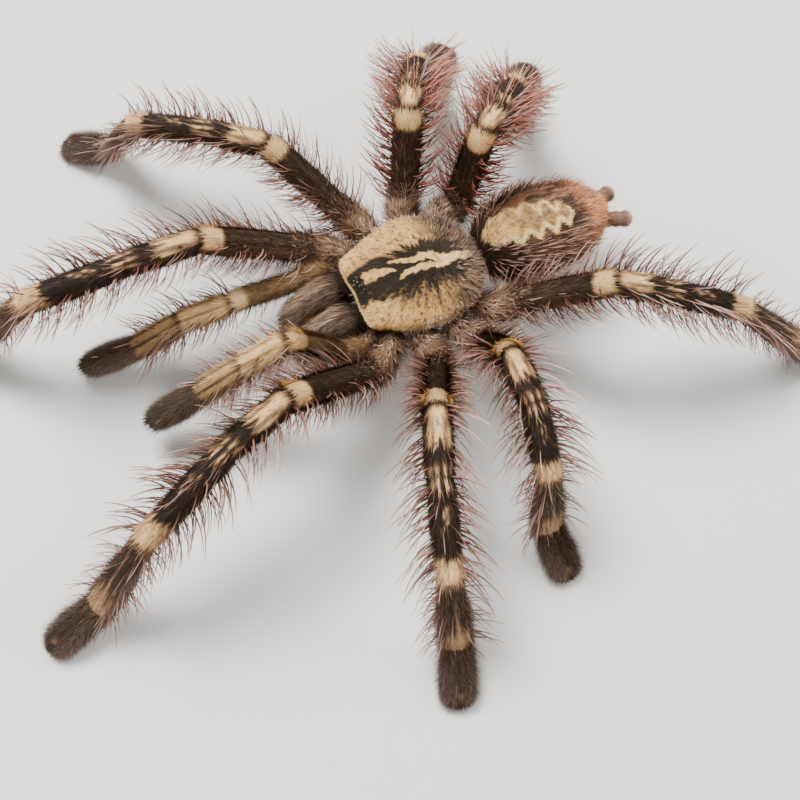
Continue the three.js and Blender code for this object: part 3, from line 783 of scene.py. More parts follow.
# Near-black with a red tinge, and smooth enough for a narrow bright highlight.
horn, horn_tree, horn_surface = new_material("polished horn of fangs and claws")
horn_place = add_node(horn_tree, "ShaderNodeTexCoord")
horn_noise = add_node(horn_tree, "ShaderNodeTexNoise", Vector=horn_place.outputs["Object"],
                      Scale=1 / (0.6 * MM), Detail=2.0)
horn_ramp = add_node(horn_tree, "ShaderNodeValToRGB", Fac=horn_noise.outputs["Fac"])
fill_ramp(horn_ramp, [(0.3, "#0b0606"), (0.7, "#2a0f0a")])
horn_tree.links.new(horn_ramp.outputs["Color"], horn_surface.inputs["Base Color"])
horn_surface.inputs["Roughness"].default_value = 0.22
horn_surface.inputs["IOR"].default_value = CHITIN_IOR

for side, sign in (("left", 1), ("right", -1)):
    stations = stretched(FANG_STATIONS, FANG_RINGS)
    path = np.column_stack([np.full(FANG_RINGS, sign * CHELICERA_X), stations[:, 0], stations[:, 1]])
    fang = join_meshes(f"fang_{side}_horn", [tube(path, stations[:, 2], FANG_SIDES)])
    fang.data.materials.append(horn)
    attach(fang, "root")
    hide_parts(f"fang_{side}")

# ----------------------------------------------------------------------------------------------
# Abdomen: a soft egg-shaped sac of thin skin behind a narrow stalk. Its velvet shows an ivory leaf
# with a scalloped edge on the back, dark shoulders, and pinkish-brown flanks combed towards the
# rear, which turns orange. Bristles stand between.
# ----------------------------------------------------------------------------------------------

ABDOMEN_FRONT_Y = 10.9
ABDOMEN_WIDEST_Y = 20.4
ABDOMEN_REAR_Y = 33.6
ABDOMEN_HALF_WIDTH = 7.1
ABDOMEN_HALF_HEIGHT = 6.3
ABDOMEN_HEIGHT_FRONT = 12.6
ABDOMEN_HEIGHT_REAR = 12.2
ABDOMEN_POINTS = 120
# Rings of the stalk: their places along Y and radii.
PEDICEL = [(7.0, 1.2), (8.5, 1.2), (10.0, 1.25)]
PEDICEL_HEIGHT = 11.9

angle = 2 * math.pi * np.arange(ABDOMEN_POINTS) / ABDOMEN_POINTS
front_length = ABDOMEN_WIDEST_Y - ABDOMEN_FRONT_Y
rear_length = ABDOMEN_REAR_Y - ABDOMEN_WIDEST_Y
places_along = np.concatenate([
    ABDOMEN_WIDEST_Y + front_length * -np.cos(np.linspace(0.12, math.pi / 2, 34)),
    ABDOMEN_WIDEST_Y + rear_length * np.sin(np.linspace(0.04, math.pi / 2 - 0.06, 50)),
])
abdomen_rings = [np.stack([-radius * np.cos(angle), np.full(ABDOMEN_POINTS, y),
                           PEDICEL_HEIGHT + radius * np.sin(angle)], axis=-1) for y, radius in PEDICEL]
for y in places_along:
    half = front_length if y < ABDOMEN_WIDEST_Y else rear_length
    swell = (1 - abs((y - ABDOMEN_WIDEST_Y) / half) ** 2.1) ** 0.55
    share = (y - ABDOMEN_FRONT_Y) / (ABDOMEN_REAR_Y - ABDOMEN_FRONT_Y)
    height = ABDOMEN_HEIGHT_FRONT + (ABDOMEN_HEIGHT_REAR - ABDOMEN_HEIGHT_FRONT) * share
    abdomen_rings.append(np.stack([-ABDOMEN_HALF_WIDTH * swell * np.cos(angle), np.full(ABDOMEN_POINTS, y),
                                   height + ABDOMEN_HALF_HEIGHT * swell * np.sin(angle)], axis=-1))
abdomen_rings = np.array(abdomen_rings)
abdomen = skin_over("abdomen_skin", abdomen_rings, [0, 7.0, PEDICEL_HEIGHT],
                    [0, ABDOMEN_REAR_Y, ABDOMEN_HEIGHT_REAR])
abdomen_places = with_ends(abdomen_rings)

# The leaf's half width along Y, with its scallops and as a smooth outline.
FOLIUM_EDGE = [(11.7, 0.2), (12.6, 1.7), (13.9, 2.6), (15.1, 2.3), (16.6, 3.5), (17.9, 2.2), (19.5, 3.55),
               (20.9, 1.75), (22.3, 3.1), (23.6, 1.3), (24.9, 2.4), (25.9, 0.8), (26.6, 0.1)]
FOLIUM_PLAIN_EDGE = [(11.7, 0.2), (13.9, 2.6), (19, 2.9), (24, 2.3), (26.6, 0.1)]


def on_leaf(places):
    """1 on the leaf of the back, and 0 off it, with the distance from its scalloped border.

    On the left the scallops cut the leaf's edge, and on the right they run inside it.
    """
    x, y, z = places.T
    leaf_x = x - (-0.3 + 0.14 * (y - 12))
    half = np.interp(y, *np.array(FOLIUM_EDGE).T)
    plain = np.interp(y, *np.array(FOLIUM_PLAIN_EDGE).T)
    wave = half - plain
    half = np.where(leaf_x > 0, half, plain + 0.3 * wave) + 0.3 * (blotches(places, 0.6, 8) - 0.5)
    inside = (1 - step_up(np.abs(leaf_x), half - 0.08, half + 0.08)) * step_up(z, 12.5, 14.5)
    inside = inside * step_up(y, 11.6, 12.0) * (1 - step_up(y, 26.2, 26.6))
    return inside, half - np.abs(leaf_x) + np.where(leaf_x > 0, 0, 1.5 * wave)


def leaf_shade(places):
    """The leaf: ivory along its edge and speckled tan inside."""
    inside, depth = on_leaf(places)
    border = 1 - step_up(np.abs(depth - 0.35), 0.45, 0.75)
    middle = 0.86 - 0.24 * step_up(places[:, 1], 15, 20) - 0.24 * step_up(blotches(places, 0.35, 9), 0.6, 0.7)
    return middle + (1.0 - middle) * border


def flank_shade(places):
    """The rest of the coat: dark shoulders, wavy brown and pink flanks, orange rear."""
    x, y, z = places.T
    wave = x + 0.35 * np.sin(y * 1.3 + z)
    streak = blotches(np.stack([wave * 1.7, y * 0.16, z * 1.7], axis=-1), 0.8, 10)
    flank = 0.42 + 1.15 * (streak - 0.5) + 0.12 * (blotches(places, 2.2, 12) - 0.5)
    flank = flank + (0.22 + 0.4 * (streak - 0.5) - flank) * step_up(z, 15.2, 17.0) * step_up(x, -2, 0)
    flank = np.minimum(flank, 0.6)
    shoulder = step_up(15.8 + 0.25 * x - y, 0, 1.6) * step_up(z, 11.0, 12.5)
    flank = flank + (0.03 + 0.1 * streak - flank) * shoulder
    rear = step_up(y + 1.6 * (blotches(places, 1.3, 14) - 0.5), 26.4, 29.2)
    return np.clip(flank + (0.76 + 0.8 * (streak - 0.5) - flank) * rear, 0, 1)


FLANK_SHADES = [(0.0, "#140d07"), (0.18, "#362618"), (0.36, "#6c4d38"), (0.52, "#9a6f57"),
                (0.7, "#c07d55"), (0.86, "#d98548"), (1.0, "#ecae78")]
ABDOMEN_BRISTLE_SHADES = [(0.0, "#40291f"), (0.5, "#8a6150"), (1.0, "#c98e66")]
# Stiffer than the velvet, with a dull shine that draws fine lines over it.
abdomen_chitin = hair_material("brown bristles of the abdomen", ABDOMEN_BRISTLE_SHADES,
                               "#b09c90", "#c0a494", 0.6, 0.45)
# Soft and matt, in streaks from dark brown through dusty pink to orange.
flank_hair = hair_material("pink and brown velvet", FLANK_SHADES, "#8d7f74", "#dcb49c", 0.08, 0.6)
# The same velvet without its brown, so the leaf looks like pale plush.
leaf_hair = hair_material("ivory velvet of the leaf", CREAM_SHADES, "#b0a28e", "#fbeed8", 0.08, 0.6)
# Seen only where the velvet parts, darkened as painted shade into a dull dark ground.
abdomen_cuticle = cuticle_material("soft skin of the abdomen", FLANK_SHADES, 0.55, 0.6)
write_field(abdomen, "shade", flank_shade(abdomen_places))
abdomen.data.materials.append(abdomen_cuticle)
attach(abdomen, "root")
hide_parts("abdomen")

abdomen_normals = point_normals(abdomen)
rearward = np.array([0, 1.0, 0]) - abdomen_normals * abdomen_normals[:, 1:2]
leaf_mask = on_leaf(abdomen_places)[0]
sac = step_up(abdomen_places[:, 1], 10.4, 11.2)
velvet_reach = 1.4 - 0.7 * step_up(abdomen_places[:, 2], 15.5, 17)
velvet_reach = velvet_reach + 0.7 * step_up(abdomen_places[:, 1], 25, 28)
velvet = grow(abdomen, "abdomen_velvet", SHORT_HAIR, flank_hair, sac * (1 - leaf_mask), velvet_reach,
              unit(rearward) + abdomen_normals * 0.3,
              per_mm2=78, seed=41, tangle=0.25, shade_spread=0.14)
at_rear = step_up(abdomen_places[:, 1], 25.6, 29)
rear_tuft = grow(abdomen, "abdomen_rear_tuft", LONG_HAIR, flank_hair, at_rear, np.full(len(at_rear), 1.9),
                 unit(rearward) * 0.8 + abdomen_normals,
                 per_mm2=12, seed=44, tangle=0.45, shade_spread=0.22)
write_field(abdomen, "shade", leaf_shade(abdomen_places))
leaf = grow(abdomen, "abdomen_leaf", FELT_HAIR, leaf_hair, leaf_mask, np.full(len(abdomen_places), 0.55),
            unit(rearward) + abdomen_normals * 0.45,
            per_mm2=150, seed=43, tangle=0.2, shade_spread=0.06)

write_field(abdomen, "shade", 0.4 + 0.4 * step_up(abdomen_places[:, 1], 26, 29))
bristle_cover = sac * (1 - step_up(abdomen_places[:, 2], 16.5, 17.8)) * step_up(abdomen_places[:, 1], 11, 13)
abdomen_bristles = grow(abdomen, "abdomen_bristles", FINE_BRISTLE, abdomen_chitin, bristle_cover,
                        2.5 - 0.9 * step_up(abdomen_places[:, 1], 28, 33),
                        unit(rearward) * 0.8 + abdomen_normals, per_mm2=1.9, seed=42,
                        tangle=0.25, shade_spread=0.35, back=-rearward)
write_field(abdomen, "shade", np.where(leaf_mask > 0.5, 0.6, flank_shade(abdomen_places)))

# ----------------------------------------------------------------------------------------------
# Spinnerets: the long rear pair, three-jointed fingers of soft pinkish skin that grow from the
# abdomen's end, with a fine down and round pale tips.
# ----------------------------------------------------------------------------------------------

SPINNERET_BASE = np.array([1.5, 33.3, 10.7])
SPINNERET_RINGS = 40
SPINNERET_SIDES = 28
# Rows of a share along the finger and the radius there.
SPINNERET_PROFILE = [(0.0, 0.75), (0.1, 1.05), (0.28, 1.1), (0.35, 0.93), (0.46, 1.12), (0.6, 1.1),
                     (0.66, 0.95), (0.76, 1.2), (0.84, 1.14), (0.91, 0.92), (0.96, 0.66), (1.0, 0.15)]
# Length, heading and rise in degrees, and the side.
SPINNERETS = {"left": (5.4 * 0.93, 66, 6, 1), "right": (4.6 * 0.93, 101, 6, -1)}
PINK_SHADES = [(0.0, "#432b21"), (0.35, "#825a46"), (0.7, "#ad8069"), (1.0, "#dcc0aa")]
# Fine and pale-tipped, so the fingers look powdery.
spinneret_down = hair_material("down of the spinnerets", PINK_SHADES, "#c0aca0", "#ecdccb", 0.3, 0.5)
# Dull and finely pitted, a dusty pink that pales to the tip, a little darkened as painted shade.
spinneret_skin = cuticle_material("soft skin of the spinnerets", PINK_SHADES, 0.8, 0.5)


def heading_vector(heading, rise):
    """A direction from a heading and a rise in degrees."""
    h, r = math.radians(heading), math.radians(rise)
    return np.array([math.cos(r) * math.cos(h), math.cos(r) * math.sin(h), math.sin(r)])


for side, (length, heading, rise, sign) in SPINNERETS.items():
    along = heading_vector(heading, rise)
    across = unit(np.cross([0, 0, 1], along))
    above = np.cross(along, across)
    share = np.linspace(0, 1, SPINNERET_RINGS)
    profile = np.array(SPINNERET_PROFILE)
    radius = np.interp(share, profile[:, 0], profile[:, 1])
    angle = 2 * math.pi * np.arange(SPINNERET_SIDES) / SPINNERET_SIDES
    base = SPINNERET_BASE * [sign, 1, 1]
    rings = ((base + share[:, None] * length * along)[:, None]
             + radius[:, None, None] * (np.cos(angle)[:, None] * across + np.sin(angle)[:, None] * above))
    spinneret = skin_over(f"spinneret_{side}_skin", rings, rings[0].mean(axis=0), rings[-1].mean(axis=0))
    places = with_ends(rings)
    tip_share = ((places - base) @ along) / length
    write_field(spinneret, "shade", 0.42 + 0.46 * step_up(tip_share, 0.72, 0.97))
    spinneret.data.materials.append(spinneret_skin)
    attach(spinneret, "root")
    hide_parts(f"spinneret_{side}")
    down = grow(spinneret, f"spinneret_{side}_down", SHORT_HAIR, spinneret_down,
                np.ones(len(places)), np.full(len(places), 0.6),
                along + point_normals(spinneret) * 0.7,
                per_mm2=75, seed=45 + sign, tangle=0.25, shade_spread=0.12)

# ----------------------------------------------------------------------------------------------
# Legs and palps: tubes of cuticle, one for each segment, joined at soft waists in one skin, with
# tan tufts at the base, a dark brown coat with cream bands and a fine down. A grey-brown pad
# covers each sole, and long curved bristles stand out on both sides.
# ----------------------------------------------------------------------------------------------

COXA_HEIGHT = 11.4
PALP_COXA_HEIGHT = 9.8
FOOT_HEIGHT = 0.8
FOOT_BLUNTNESS = 1.5
COAT_DEPTH = 0.28
JOINT_WAIST = 0.07
COXA_INNER_RADIUS = 1.4
PALP_COXA_INNER_RADIUS = 0.9
LEG_SIDES = 44
PALP_SIDES = 36
RING_STEP = 0.34
# Both ends of each left coxa along X and Y, and the lengths of the other segments.
LIMBS = {
    "leg_1": ((4.1, -5.5), (9.5, -8.5), (3.6, 20.4, 10.8, 16.9, 16.2, 9.5)),
    "leg_2": ((5.7, -1.9), (10.7, -2.8), (3.4, 17.7, 9.7, 14.2, 14.6, 8.8)),
    "leg_3": ((5.7, 2.2), (10.9, 3.4), (3.2, 14.9, 8.1, 11.0, 13.9, 8.4)),
    "leg_4": ((4.3, 6.0), (9.3, 9.0), (3.3, 17.8, 8.4, 14.4, 18.1, 8.6)),
    "palp": ((3.5, -8.0), (7.0, -11.2), (3.4, 12.6, 7.7, 9.1, 10.1)),
}
# Radii at the start, middle and end of each segment after the coxa.
LEG_RADII = [(2.0, 2.05, 2.0), (1.95, 2.25, 2.1), (1.95, 2.15, 1.95), (1.9, 2.1, 1.85),
             (1.75, 1.7, 1.6), (1.55, 1.75, 1.45)]
PALP_RADII = [(1.4, 1.45, 1.4), (1.35, 1.5, 1.5), (1.55, 1.65, 1.6), (1.6, 1.7, 1.6), (1.6, 1.8, 1.3)]
# How much wider than high each segment is, at the same places, with the coxa.
LEG_SPREAD = [(1, 1, 1)] * 5 + [(1, 1.25, 1.4), (1.4, 1.6, 1.5)]
PALP_SPREAD = [(1, 1, 1)] * 5 + [(1, 1.2, 1.25)]
# Headings and rises of the segments after the coxa, in degrees. A leg's last segment has no rise
# here, because it reaches for the floor.
POSTURE = {
    "leg_1_left": ((-55, -76, -71, -71, -76, -77), (-2, 37, 0, -23, -51)),
    "leg_2_left": ((5, -31, -23, -17, -7, -22), (4, 43, -2, -29, -62)),
    "leg_3_left": ((31, -6, -5, -5, 2, 2), (-3, 56, 6, -38, -72)),
    "leg_4_left": ((87, 57, 65, 64, 63, 63), (3, 37, -14, -19, -41)),
    "palp_left": ((-90, -96, -100, -99, -94), (2, 47, -35, -39, -28)),
    "leg_1_right": ((240, 262, 265, 263, 250, 248), (3, 31, -4, -13, -50)),
    "leg_2_right": ((208, 217, 229, 225, 214, 229), (13, 33, -4, -20, -59)),
    "leg_3_right": ((153, 154, 149, 146, 136, 130), (1, 56, -22, -30, -55)),
    "leg_4_right": ((94, 107, 128, 137, 137, 137), (-4, 79, -24, -34, -60)),
    "palp_right": ((268, 269, 265, 261, 258), (5, 3, -9, -33, -22)),
}
# A hair lies forward, so it wears the colour of the skin a little ahead of its root.
HAIR_SHOWS_AHEAD = 0.6
# Usual lengths of the bristles on each segment, from the coxa to the tarsus.
BRISTLE_LENGTHS = np.array([2.0, 3.2, 4.6, 5.1, 5.6, 4.4, 1.9])
# Legs with longer, denser and redder bristles.
SHAGGY_LEGS = ("leg_3_right", "leg_4_right")
# How much paler the palps' pads are than the legs'.
PALE_PADS = {"palp_left": 0.04, "palp_right": 0.16}
COXA, TROCHANTER, FEMUR, PATELLA, TIBIA, METATARSUS, TARSUS = range(7)


def limb_joints(limb, name):
    """The places of a limb's joints, from the inner end of its coxa to the tip of its foot."""
    coxa, end, lengths = LIMBS[limb]
    headings, rises = POSTURE[name]
    sign = 1 if name.endswith("left") else -1
    inner = COXA_HEIGHT if len(lengths) == 6 else PALP_COXA_HEIGHT
    joints = [np.array([sign * coxa[0], coxa[1], inner]), np.array([sign * end[0], end[1], COXA_HEIGHT])]
    for i, length in enumerate(lengths):
        if i < len(rises):
            rise = rises[i]
        else:
            rise = math.degrees(math.asin((FOOT_HEIGHT - joints[-1][2]) / length))
        joints.append(joints[-1] + length * heading_vector(headings[i], rise))
    return np.array(joints)


def limb_path(joints, radii, step):
    """Rings along a limb: places, directions, segment numbers, and mm from and to a joint."""
    ways = unit(np.diff(joints, axis=0))
    lengths = np.linalg.norm(np.diff(joints, axis=0), axis=1)
    last = len(ways) - 1
    reach = [0.0]
    for i in range(1, len(ways)):
        bend = math.acos(np.clip(ways[i - 1] @ ways[i], -1, 1))
        reach.append(0.35 + radii[i][0] * math.tan(bend / 2))
    reach.append(0.0)
    rows = []
    for i in range(len(ways)):
        start, stop = reach[i], lengths[i] - reach[i + 1]
        for place in np.linspace(start, stop, max(int((stop - start) / step), 2)):
            rows.append((joints[i] + ways[i] * place, ways[i], i, place, lengths[i] - place))
        if i == last:
            break
        count = max(int(2 * reach[i + 1] / step), 4)
        before = joints[i + 1] - ways[i] * reach[i + 1]
        after = joints[i + 1] + ways[i + 1] * reach[i + 1]
        for t in np.linspace(0, 1, count + 2)[1:-1]:
            place = (1 - t) ** 2 * before + 2 * t * (1 - t) * joints[i + 1] + t ** 2 * after
            way = (1 - t) * ways[i] + t * ways[i + 1]
            off = reach[i + 1] * (2 * t - 1)
            if off < 0:
                rows.append((place, unit(way), i, lengths[i] + off, -off))
            else:
                rows.append((place, unit(way), i + 1, off, lengths[i + 1] - off))
    columns = [np.array(column) for column in zip(*rows)]
    return columns + [lengths]


def value_along(table, segment, share):
    """A value that each segment has at its start, middle and end, smoothly filled in between."""
    start, middle, end = np.array(table, float)[segment].T
    value = np.where(share < 0.5, start + (middle - start) * share * 2,
                     middle + (end - middle) * (share * 2 - 1))
    return np.convolve(np.pad(value, 4, mode="edge"), np.ones(9) / 9, mode="valid")


def limb_rings(joints, radii, spreads, sides, step):
    """The rings of a limb's skin with their segment, share along it, and angle round it."""
    middles, along, segment, from_joint, to_joint, lengths = limb_path(joints, radii, step)
    share = from_joint / lengths[segment]
    radius = value_along(radii, segment, share)
    wide = value_along(spreads, segment, share)
    last = len(lengths) - 1
    nearest = np.minimum(np.where(segment == 0, 9, from_joint), np.where(segment == last, 9, to_joint))
    radius = radius * (1 - JOINT_WAIST * bump_at(nearest, 0, 0.4) + 0.03 * bump_at(nearest, 1.2, 0.7))
    radius = radius - COAT_DEPTH
    to_tip = np.where(segment == last, to_joint, 99)
    blunt = np.clip(to_tip / FOOT_BLUNTNESS, 0.0005, 1)
    radius = radius * np.sqrt(1 - (1 - blunt) ** 2.4)
    side = unit(np.cross([0, 0, 1], along) * [1, 1, 0])
    up = np.cross(along, side)
    angle = 2 * math.pi * np.arange(sides) / sides
    rings = middles[:, None] + radius[:, None, None] * (
        np.cos(angle)[None, :, None] * (wide[:, None] * side)[:, None]
        + np.sin(angle)[None, :, None] * up[:, None])
    rings[..., 2] = np.maximum(rings[..., 2], 0.03)
    spread = np.ones((1, sides))
    fields = {
        "segment": segment[:, None] * spread,
        "share": share[:, None] * spread,
        "angle": np.ones((len(segment), 1)) * angle,
        "nearest": nearest[:, None] * spread,
        "ahead": to_joint[:, None] * spread,
    }
    return rings, along, fields


def off_top(angle):
    """Degrees from the middle of the upper side, from -180 to 180."""
    return (np.degrees(angle) - 90 + 180) % 360 - 180


def leg_shade(segment, share, angle, nearest, places, seed):
    """How pale a leg's coat is: dark with cream knees, flecks on the shin and a cream ankle."""
    off = off_top(angle)
    top = np.cos(np.radians(off))
    rag = np.cos(np.radians(off * 5)) + np.cos(np.radians(off * 9 + 50)) + np.cos(np.radians(off * 15))
    rag = 0.045 * rag
    patchy = blotches(places, 0.8, seed) - 0.5
    strand_place = np.stack([np.cos(angle) * 7, np.sin(angle) * 7, places @ [0.3, 0.3, 0.3]], axis=-1)
    strand = blotches(strand_place, 0.9, seed + 1) - 0.5
    patchy = 0.6 * patchy + 1.1 * strand
    shade = np.full(len(share), 0.52) + 0.2 * patchy
    flank = (1 - np.abs(top)) * 0.16

    femur = 0.255 + 1.2 * flank + 0.1 * (1 - share) + 0.12 * patchy
    band = step_up(share, 0.845, 0.875) * step_up(top, 0.05, 0.45)
    femur = femur + (1.0 - femur) * band
    shade = np.where(segment == FEMUR, femur, shade)

    patella = 0.16 + flank + 0.1 * patchy
    cream = (1 - step_up(share + rag, 0.56, 0.66)) * step_up(top + 2 * rag, 0.4, 0.75)
    patella = patella + (0.92 - patella) * cream
    lines = bump_at(np.abs(off), 27, 7) * step_up(share, 0.12, 0.3) * cream
    patella = patella - 0.42 * lines
    corner = bump_at(np.abs(off), 62, 22) * (1 - step_up(share, 0.22, 0.4))
    patella = patella + (0.3 - patella) * np.clip(1.3 * corner, 0, 1)
    fleck = bump_at(np.abs(off), 17, 8) + 0.6 * bump_at(np.abs(off), 46, 8)
    fleck = fleck * step_up(share + rag, 0.85, 0.93)
    patella = patella + (0.9 - patella) * np.clip(1.3 * fleck, 0, 1)
    shade = np.where(segment == PATELLA, patella, shade)

    tibia = 0.13 + flank + 0.1 * patchy
    fleck = bump_at(np.abs(off), 19, 8) + 0.6 * bump_at(np.abs(off), 44, 7)
    fleck = fleck * (1 - step_up(share + rag, 0.07, 0.15))
    for place, turn in ((0.31, -9), (0.37, 8), (0.44, -5), (0.5, 9)):
        fleck = fleck + bump_at(share, place, 0.018) * bump_at(off, turn, 6)
    tibia = tibia + (0.95 - tibia) * np.clip(1.4 * fleck, 0, 1)
    notch = 0.085 * bump_at(off, 0, 14)
    band = step_up(share - notch + rag * 0.5, 0.755, 0.785) * step_up(top, -0.25, 0.25)
    tibia = tibia + (0.86 + 0.14 * patchy - 1.2 * flank - tibia) * band
    wide = bump_at(share, 0.36, 0.06) * bump_at(off, 10 * np.sin(share * 60), 26)
    wide = wide * step_up(strand, -0.12, 0.08)
    tibia = tibia + (0.9 - tibia) * np.clip(0.55 * wide, 0, 1)
    shade = np.where(segment == TIBIA, tibia, shade)

    metatarsus = 0.25 + flank + 0.14 * patchy + 0.3 * (1 - step_up(share, 0.02, 0.12)) * step_up(top, 0, 0.5)
    band = step_up(share + 1.5 * rag, 0.6, 0.78) * step_up(top, -0.4, 0.3)
    metatarsus = metatarsus + (0.64 + 0.2 * patchy - metatarsus) * band
    metatarsus = metatarsus + 0.2 * bump_at(off, 0, 7) * step_up(share, 0.1, 0.3) * (1 - band)
    shade = np.where(segment == METATARSUS, metatarsus, shade)

    tarsus = 0.3 + 1.3 * flank + 0.1 * patchy - 0.1 * bump_at(off, 0, 12) * step_up(share, 0.1, 0.3)
    tarsus = tarsus + 0.6 * (1 - step_up(share, 0.0, 0.03)) * step_up(top, 0.2, 0.6)
    tarsus = tarsus + 0.3 * bump_at(np.abs(off), 24, 7) * (1 - step_up(share, 0.08, 0.2))
    tarsus = tarsus + 0.3 * bump_at(share, 0.84, 0.04) * bump_at(off, 0, 14)
    shade = np.where(segment == TARSUS, tarsus, shade)

    seam = bump_at(nearest, 0, 0.3) * step_up(top, -0.2, 0.3) * (segment >= FEMUR) * (segment <= PATELLA)
    shade = shade + (0.12 - shade) * seam
    return np.clip(shade, 0, 1)


def palp_shade(segment, share, angle, nearest, places, seed):
    """How pale a palp's coat is: tan with a cream knee, two dark lines and a grey foot."""
    off = off_top(angle)
    top = np.cos(np.radians(off))
    patchy = blotches(places, 0.7, seed) - 0.5
    shade = 0.55 + 0.2 * patchy
    femur = 0.44 + 0.14 * patchy + 0.08 * step_up(top, 0.2, 0.8)
    femur = femur + (1.0 - femur) * step_up(share, 0.8, 0.84) * step_up(top, 0.05, 0.45)
    shade = np.where(segment == FEMUR, femur, shade)
    lines = bump_at(np.abs(off), 28, 7)
    patella = 0.56 + 0.34 * step_up(top, 0.0, 0.4) - 0.44 * lines * step_up(share, 0.1, 0.3) + 0.1 * patchy
    shade = np.where(segment == PATELLA, patella, shade)
    tibia = 0.48 + 0.3 * step_up(top, 0.2, 0.7) * (1 - 0.5 * share) - 0.44 * lines + 0.12 * patchy
    shade = np.where(segment == TIBIA, tibia, shade)
    tarsus = 0.36 - 0.12 * bump_at(off, 0, 40) - 0.12 * share + 0.12 * patchy
    shade = np.where(segment == METATARSUS, tarsus, shade)
    seam = bump_at(nearest, 0, 0.26) * step_up(top, -0.2, 0.3) * (segment >= FEMUR) * (segment <= TIBIA)
    shade = shade + (0.12 - shade) * seam
    return np.clip(shade, 0, 1)


PALP_SHADES = [(0.0, "#120d0a"), (0.2, "#2c2016"), (0.4, "#644b34"), (0.55, "#987651"),
               (0.7, "#c79e69"), (0.86, "#edc587"), (1.0, "#ffe5b4")]
# Short and matt, from warm brown to cream, so the palps look paler and plainer than the legs.
palp_hair = hair_material("tan hair of the palps", PALP_SHADES, "#b3a594", "#cdb39a", 0.06, 0.62)
LEG_SHADES = [(0.0, "#0c0806"), (0.2, "#20160f"), (0.38, "#4a382b"), (0.52, "#85654c"),
              (0.68, "#ae8a62"), (0.84, "#e8bd82"), (1.0, "#ffe0a5")]
# Short and matt: near-black fur with crisp cream bands whose edges follow the hairs.
leg_hair = hair_material("banded hair of the legs", LEG_SHADES, "#b3a594", "#c9a98c", 0.035, 0.62)
PAD_SHADES = [(0.0, "#1c120e"), (0.35, "#594138"), (0.65, "#947467"), (1.0, "#ceb0a0")]
# Dense and velvety, a grey-brown nap that pales at its tips.
pad_hair = hair_material("grey-brown hair of the foot pads", PAD_SHADES, "#8f837b", "#cdb5a4", 0.25, 0.5)
# Seen only between the hairs, darkened as painted shade, in the coat's own pattern.
leg_cuticle = cuticle_material("cuticle of the legs", LEG_SHADES, 0.6, 0.5)
BRISTLE_SHADES = [(0.0, "#42271f"), (0.4, "#70473b"), (0.7, "#99705f"), (1.0, "#c8a28f")]
# Stiff and glossier than the coat, so bristles stand out as bright pinkish threads; their pale tips are
# partly painted light.
bristle_chitin = hair_material("pinkish bristle chitin", BRISTLE_SHADES, "#b09c90", "#b9a498", 0.45, 0.4, 0.3)
RED_BRISTLE_SHADES = [(0.0, "#42241c"), (0.4, "#783f33"), (0.7, "#a6624e"), (1.0, "#d09a80")]
# The same, but redder, so two of the rear legs have a rusty halo; the pale tips again are partly painted
# light.
red_chitin = hair_material("reddish bristle chitin", RED_BRISTLE_SHADES, "#b09c90", "#c09a88", 0.4, 0.4, 0.3)

